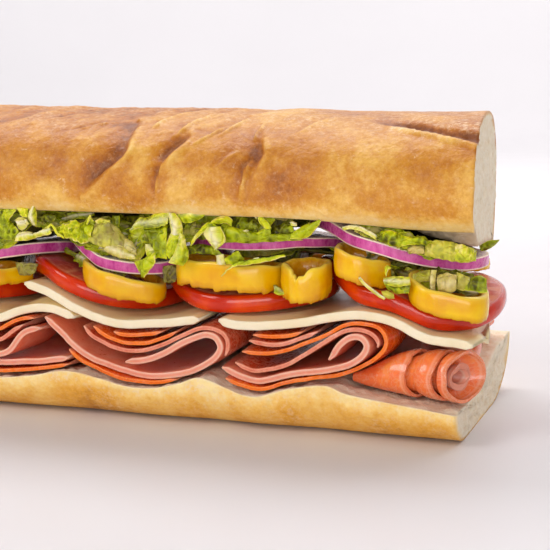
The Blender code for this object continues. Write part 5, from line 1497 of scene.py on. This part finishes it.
    ([(53.6, 228), (63, 225), (69, 222.6), (75, 220.4), (80, 223), (88.4, 217), (94, 221.4)],
     [(57, 234), (63, 237.4), (71, 238.8), (77, 241), (83, 244.4), (87, 243), (91, 240)],
     (-39.6, -40.4), dict(tone=(0.66, 0.74), bulge=1.2, ruffle=1.2, outline=0.35, along=60)),
    ([(68, 224), (72, 221.6), (77, 220), (79, 224)], [(70, 230), (73, 228), (77, 228), (80, 230)],
     (-40.8, -41.2), dict(tone=(0.8, 0.72), bulge=1.0, ruffle=0.9, outline=0.3)),
    ([(86, 224), (88, 218), (90, 214.6)], [(87.4, 224.6), (90, 219), (91.4, 215.4)],
     (-40.8, -41.0), dict(tone=(0.8, 0.8), bulge=0.2, ruffle=0.1)),
    ([(92, 221.6), (103, 219.6), (112, 223.4), (120, 230), (129, 240)],
     [(89, 241), (97, 245), (104, 248), (112, 250.6), (124, 256)], (-38.2, -39.4),
     dict(tone=(0.6, 0.42), tan=0.45, bulge=1.4, ruffle=0.7, outline=0.1)),
    ([(95.6, 220.4), (102, 218.8), (110, 219.6)], [(96, 223), (103, 223), (110.4, 222.6)],
     (-39.6, -40.0), dict(tone=(0.84, 0.76), tan=0.3, bulge=0.6, ruffle=0.4)),
    ([(112.4, 215.6), (112, 221), (113, 227.6)], [(119, 215.8), (119.4, 221), (118.6, 227)],
     (-37.4, -38.0), dict(tone=(0.5, 0.4), bulge=0.6, ruffle=0.3)),
    ([(110.6, 245.6), (118, 244.6), (127, 249), (134, 255)],
     [(103, 249.6), (114, 256.6), (124, 258.6), (136, 259.4)], (-39.6, -40.4),
     dict(tone=(0.95, 0.95), tan=0.45, rib=0.5, bulge=1.2, ruffle=0.4, outline=0.1)),
    ([(125, 238), (131, 241), (136.4, 247)], [(124, 252), (130, 255), (136.6, 255)],
     (-38.6, -39.4), dict(tone=(0.8, 0.7), tan=0.7, rib=0.3, bulge=1.0, ruffle=0.3)),
    ([(186, 247), (200, 243.6), (216, 247)], [(187, 254.6), (200, 254), (224, 256)],
     (-37.0, -37.6), dict(tone=(0.3, 0.4), bulge=0.8, ruffle=0.7, outline=0.15)),
    ([(16, 262), (28, 263), (38, 264)], [(19, 275), (28, 276), (36, 273)], (-33.0, -33.6),
     dict(tone=(0.12, 0.2), tan=0.3, bulge=0.8, ruffle=0.7, outline=0.1)),
    ([(163, 266), (170, 265.6), (179, 266)], [(164, 282), (170, 283), (176, 281)],
     (-33.0, -33.6), dict(tone=(0.1, 0.16), tan=0.2, bulge=0.8, ruffle=0.7, outline=0.05)),
    ([(41, 214), (48, 212.6), (57, 214)], [(42, 222), (49, 222.6), (56, 221)],
     (-36.4, -37.2), dict(tone=(0.12, 0.2), bulge=0.8, ruffle=0.6, outline=0.1)),
]


def shreds(rng, spans, low, high, front, step, lengths, widths, tones, deep):
    """Loose shreds between two heights, over the spans of x and from y = front inwards."""
    made = []
    outward = 1.0 if front > 0 else -1.0
    for start, stop in spans:
        x = start + rng.uniform(0, step)
        while x < stop:
            base, roof = low(x), high(x)
            if roof - base > 1.6:
                length = rng.uniform(*lengths)
                width = min(rng.uniform(*widths), (roof - base) * 1.15)
                z = rng.uniform(base + 0.35 * width, max(roof - 0.35 * width, base + 0.4 * width))
                y = front - outward * rng.uniform(0.0, deep + 0.5)
                tilt = rng.uniform(-0.35, 0.35)
                points = []
                for k in range(4):
                    t = k / 3 - 0.5
                    px = x + t * length
                    inside = outward * 6.0 * abs(t) ** 1.5 * rng.uniform(0.3, 1.6)
                    pz = z + tilt * t * length + rng.uniform(-0.8, 0.8)
                    edge_low, edge_high = low(px) + 0.3 * width, high(px) - 0.3 * width
                    pz = min(max(pz, edge_low), max(edge_high, edge_low))
                    points.append((px, y - inside, pz))
                face = (rng.uniform(-0.4, 0.4), outward, rng.uniform(-0.5, 0.9))
                rib = 0.9 if rng.random() < 0.3 * tones[1] else rng.uniform(0, 0.3) * tones[1]
                made.append(shred(points, face, width, rng, ruffle=rng.uniform(0.4, 1.1),
                                  curl=rng.uniform(-0.3, 0.6), rib=rib, tone=rng.uniform(*tones),
                                  taper=rng.uniform(0.3, 0.8)))
            x += rng.uniform(0.6, 1.4) * step
    return made


# Stretches of x with loose shreds: over the onions at the front and at the back, and below
# them in the open gaps and through the lower heap
FIRST_SPAN, NEAR_SPANS = [(-85, -46)], [(-85, 46), (66, 86)]
FAR_SPANS = [(-85, 40), (64, 77)]
GAPS, LOW_SPAN = [(-27, -9), (60, 92)], [(8, 80)]
# Tones of the shreds: painted shade makes those deeper inside and in the gaps dim
BRIGHT, MIDDLING, DIM = (0.45, 0.95), (0.25, 0.7), (0.05, 0.5)


ON_ONION, UNDER_CRUMB = shifted(onion_over, 0.2), shifted(top_crumb, -0.3)
LOW_ON_ONION, UNDER_ONION = shifted(ON_ONION, 4.5), shifted(onion_under, -0.2)
IN_GAP, IN_LOW_HEAP = shifted(pile_top, 2.5), shifted(pile_top, 3.0)
# The layers of shreds in each piece: spans, lowest and highest, y, step along x, lengths,
# widths, tones and depth
SHRED_LAYERS = {
    "lettuce_shreds_front": [
        (FIRST_SPAN, ON_ONION, UNDER_CRUMB, -37.0, 3.0, (9, 20), (3.0, 6.0), BRIGHT, 1.5),
        (NEAR_SPANS, ON_ONION, UNDER_CRUMB, -34.5, 3.4, (9, 20), (3.0, 6.0), DIM, 1.5),
        (NEAR_SPANS, ON_ONION, LOW_ON_ONION, -36.4, 2.4, (7, 13), (3.0, 5.0), MIDDLING, 1.2),
        (NEAR_SPANS, ON_ONION, UNDER_CRUMB, -30.5, 4.5, (10, 22), (3.5, 7.0), DIM, 3.0)],
    "lettuce_shreds_back": [
        (FAR_SPANS, ON_ONION, UNDER_CRUMB, 35.0, 3.4, (9, 22), (3.0, 6.0), BRIGHT, 1.5),
        (FAR_SPANS, ON_ONION, UNDER_CRUMB, 30.0, 4.5, (10, 22), (3.5, 7.0), DIM, 3.0)],
    "lettuce_shreds_low": [
        (GAPS, IN_GAP, UNDER_ONION, -30.0, 4.0, (8, 16), (3.0, 5.0), DIM, 4.0),
        (LOW_SPAN, IN_LOW_HEAP, UNDER_ONION, -17.0, 3.0, (9, 18), (3.5, 6.0), DIM, 3.0),
        (LOW_SPAN, IN_LOW_HEAP, UNDER_ONION, 17.0, 3.0, (9, 18), (3.5, 6.0), DIM, 3.0)],
}


def make_lettuce_cores(dark):
    """The middle of each heap, painted dark as the shade between the leaves."""
    for heap, spans, half, low, high in (
            ("upper", UPPER_HEAPS, 33.5, shifted(onion_over, 0.7), shifted(top_crumb, -0.6)),
            ("lower", LOWER_HEAPS, 14.0, shifted(pile_top, 0.6), shifted(onion_under, -0.9))):
        for k, (start, stop) in enumerate(spans):
            points, faces = core_mesh(start, stop, half, low, high)
            masks = np.tile(CORE_MASK, (len(points), 1))
            node = f"lettuce_{heap}_{k + 1}"
            make_piece(node + "_core", [node], settle(points), faces, masks, dark)


def make_lettuce(light, dark):
    make_lettuce_cores(dark)
    rng = np.random.default_rng(LETTUCE_SEED)
    leaves = [blade(one, other, depth, rng, **looks) for one, other, depth, looks in SEEN_LEAVES]
    points, faces, masks = join(leaves)
    make_piece("lettuce_leaves", ["lettuce_upper_1"], points, faces, masks, light)
    for name, layers in SHRED_LAYERS.items():
        points, faces, masks = join([part for layer in layers for part in shreds(rng, *layer)])
        make_piece(name, [], settle(points), faces, masks, light)


# Floor, lights and camera, all in metres

FLOOR_FLAT, FLOOR_TURN, WALL_TOP = 1.1, 0.45, 1.3      # radii and height
FLOOR_RINGS, FLOOR_SPOKES, FLOOR_HUB = 12, 96, 0.02


def make_stage():
    """A pale round floor that curves up into a wall all the way round."""
    profile = [(r, 0.0) for r in np.linspace(FLOOR_HUB, FLOOR_FLAT, FLOOR_RINGS)]
    for k in range(1, FLOOR_RINGS + 1):
        a = math.pi / 2 * k / FLOOR_RINGS
        profile.append((FLOOR_FLAT + FLOOR_TURN * math.sin(a), FLOOR_TURN * (1 - math.cos(a))))
    profile.append((FLOOR_FLAT + FLOOR_TURN, WALL_TOP))
    angle = around(FLOOR_SPOKES)[:, 0]
    points = [(r * math.cos(a), r * math.sin(a), z) for r, z in profile for a in angle]
    faces = grid_faces(len(profile), FLOOR_SPOKES, wrap_columns=True).tolist()
    faces.append(list(range(FLOOR_SPOKES)))
    mesh = bpy.data.meshes.new("floor")
    mesh.from_pydata(points, [], faces)
    mesh.shade_smooth()
    s = Shader("floor", Specular_IOR_Level=0.3)
    shade = s.ramp(s.noise(3.0, 2), [(0.3, (225, 222, 224)), (0.7, (229, 226, 228))])
    mesh.materials.append(s.finish(shade, s.remap(s.noise(40, 2), 0.3, 0.7, 0.45, 0.55)))
    floor = bpy.data.objects.new("floor", mesh)
    bpy.context.scene.collection.objects.link(floor)


WORLD_LIGHT = 0.36
# Soft rectangles of light: place, aim, width and height, power in watts, and colour
LIGHTS = {
    "key": ((-0.45, -0.60, 0.52), (0, 0, 0.04), 0.4, 0.4, 2.6, (1.0, 0.99, 0.97)),
    "fill": ((0.35, -0.85, 0.15), (0, 0, 0.04), 0.8, 0.25, 2.9, (1, 1, 1)),
    "top": ((-0.05, 0.30, 0.60), (0, 0, 0.05), 0.9, 0.3, 4.0, (1.0, 0.96, 0.96)),
    "backdrop": ((0.0, 0.55, 0.75), (-0.3, 1.6, 0.35), 1.4, 0.4, 10.0, (1, 1, 1)),
}


def make_lights():
    for name, (place, aim, width, tall, power, colour) in LIGHTS.items():
        light = bpy.data.lights.new(name, "AREA")
        light.shape = "RECTANGLE"
        light.size, light.size_y = width, tall
        light.energy, light.color = power, colour
        obj = bpy.data.objects.new(name, light)
        obj.location = place
        obj.rotation_euler = (Vector(aim) - Vector(place)).to_track_quat("-Z", "Y").to_euler()
        bpy.context.scene.collection.objects.link(obj)
    world = bpy.data.worlds.new("studio")
    world.use_nodes = True
    background = world.node_tree.nodes["Background"]
    background.inputs["Color"].default_value = (1.0, 1.0, 1.0, 1.0)
    background.inputs["Strength"].default_value = WORLD_LIGHT
    bpy.context.scene.world = world


def make_camera():
    right, up, forward = camera_axes()
    data = bpy.data.cameras.new("camera")
    data.sensor_width = SENSOR
    data.lens = SENSOR * FOCAL_PIXELS / IMAGE_PIXELS
    data.clip_start, data.clip_end = CLIP_START, CLIP_END
    camera = bpy.data.objects.new("camera", data)
    rotation = Matrix((right, up, -forward)).transposed()
    camera.matrix_world = Matrix.Translation(CAMERA_PLACE) @ rotation.to_4x4()
    bpy.context.scene.collection.objects.link(camera)
    bpy.context.scene.camera = camera


make_camera()
make_stage()
make_lights()
bpy.context.scene.view_settings.view_transform = "Standard"

# Crust from pale to strongly baked; its darker tones also paint shade in the top crust's creases
TOP_CRUST = [(0.0, (246, 206, 128)), (0.25, (232, 178, 80)), (0.5, (206, 136, 30)),
             (0.75, (180, 104, 12)), (1.0, (130, 66, 6))]
BOTTOM_CRUST = [(0.0, (255, 228, 160)), (0.3, (250, 202, 108)), (0.6, (236, 170, 58)),
                (1.0, (180, 108, 22))]
make_top_bread(bread_material("top_crust", TOP_CRUST, 0.42))
make_bottom_bread(bread_material("bottom_crust", BOTTOM_CRUST, 0.62))
make_cheese(cheese_material())
make_discs(tomato_material(), onion_material())
# Tones of each meat's faces, of its cut edges and of their corners, marbling and gloss
MEATS = {
    "ham": meat_material("ham", [(0.3, (240, 112, 76)), (0.5, (248, 140, 104)),
                                 (0.75, (252, 168, 136))],
                         [(0.3, (228, 130, 102)), (0.7, (240, 160, 134))], (255, 216, 190),
                         0.10, 0.3, relief_mm=0.12, glow=0.3),
    "salami": meat_material("salami", [(0.3, (176, 44, 14)), (0.5, (212, 80, 38)),
                                       (0.75, (240, 136, 92))],
                            [(0.3, (206, 88, 60)), (0.7, (236, 150, 124))], (244, 168, 130),
                            0.35, 0.26),
    "cured": meat_material("cured_meat", [(0.3, (212, 62, 2)), (0.5, (236, 88, 5)),
                                          (0.75, (248, 130, 26))],
                           [(0.3, (230, 84, 6)), (0.7, (248, 124, 32))], (255, 150, 50),
                           0.22, 0.24),
    "roll": meat_material("roll_meat", [(0.3, (232, 68, 0)), (0.5, (250, 102, 0)),
                                        (0.75, (255, 156, 56))],
                          [(0.3, (226, 92, 40)), (0.7, (242, 136, 84))], (250, 176, 130),
                          0.35, 0.2, wet=0.6),
    # The ham at the roll's heart is a darker copy of the ham: painted shade deep in the roll's
    # opening
    "heart": meat_material("shaded_heart_ham", [(0.3, (150, 48, 28)), (0.5, (172, 62, 38)),
                                         (0.75, (192, 88, 60))],
                           [(0.3, (206, 108, 84)), (0.7, (226, 138, 112))], (244, 190, 160),
                           0.1, 0.3, relief_mm=0.12),
}
make_meats(MEATS)
make_roll(MEATS)
make_peppers(pepper_material())
make_lettuce(lettuce_material("lettuce", False), lettuce_material("lettuce_shade", True))
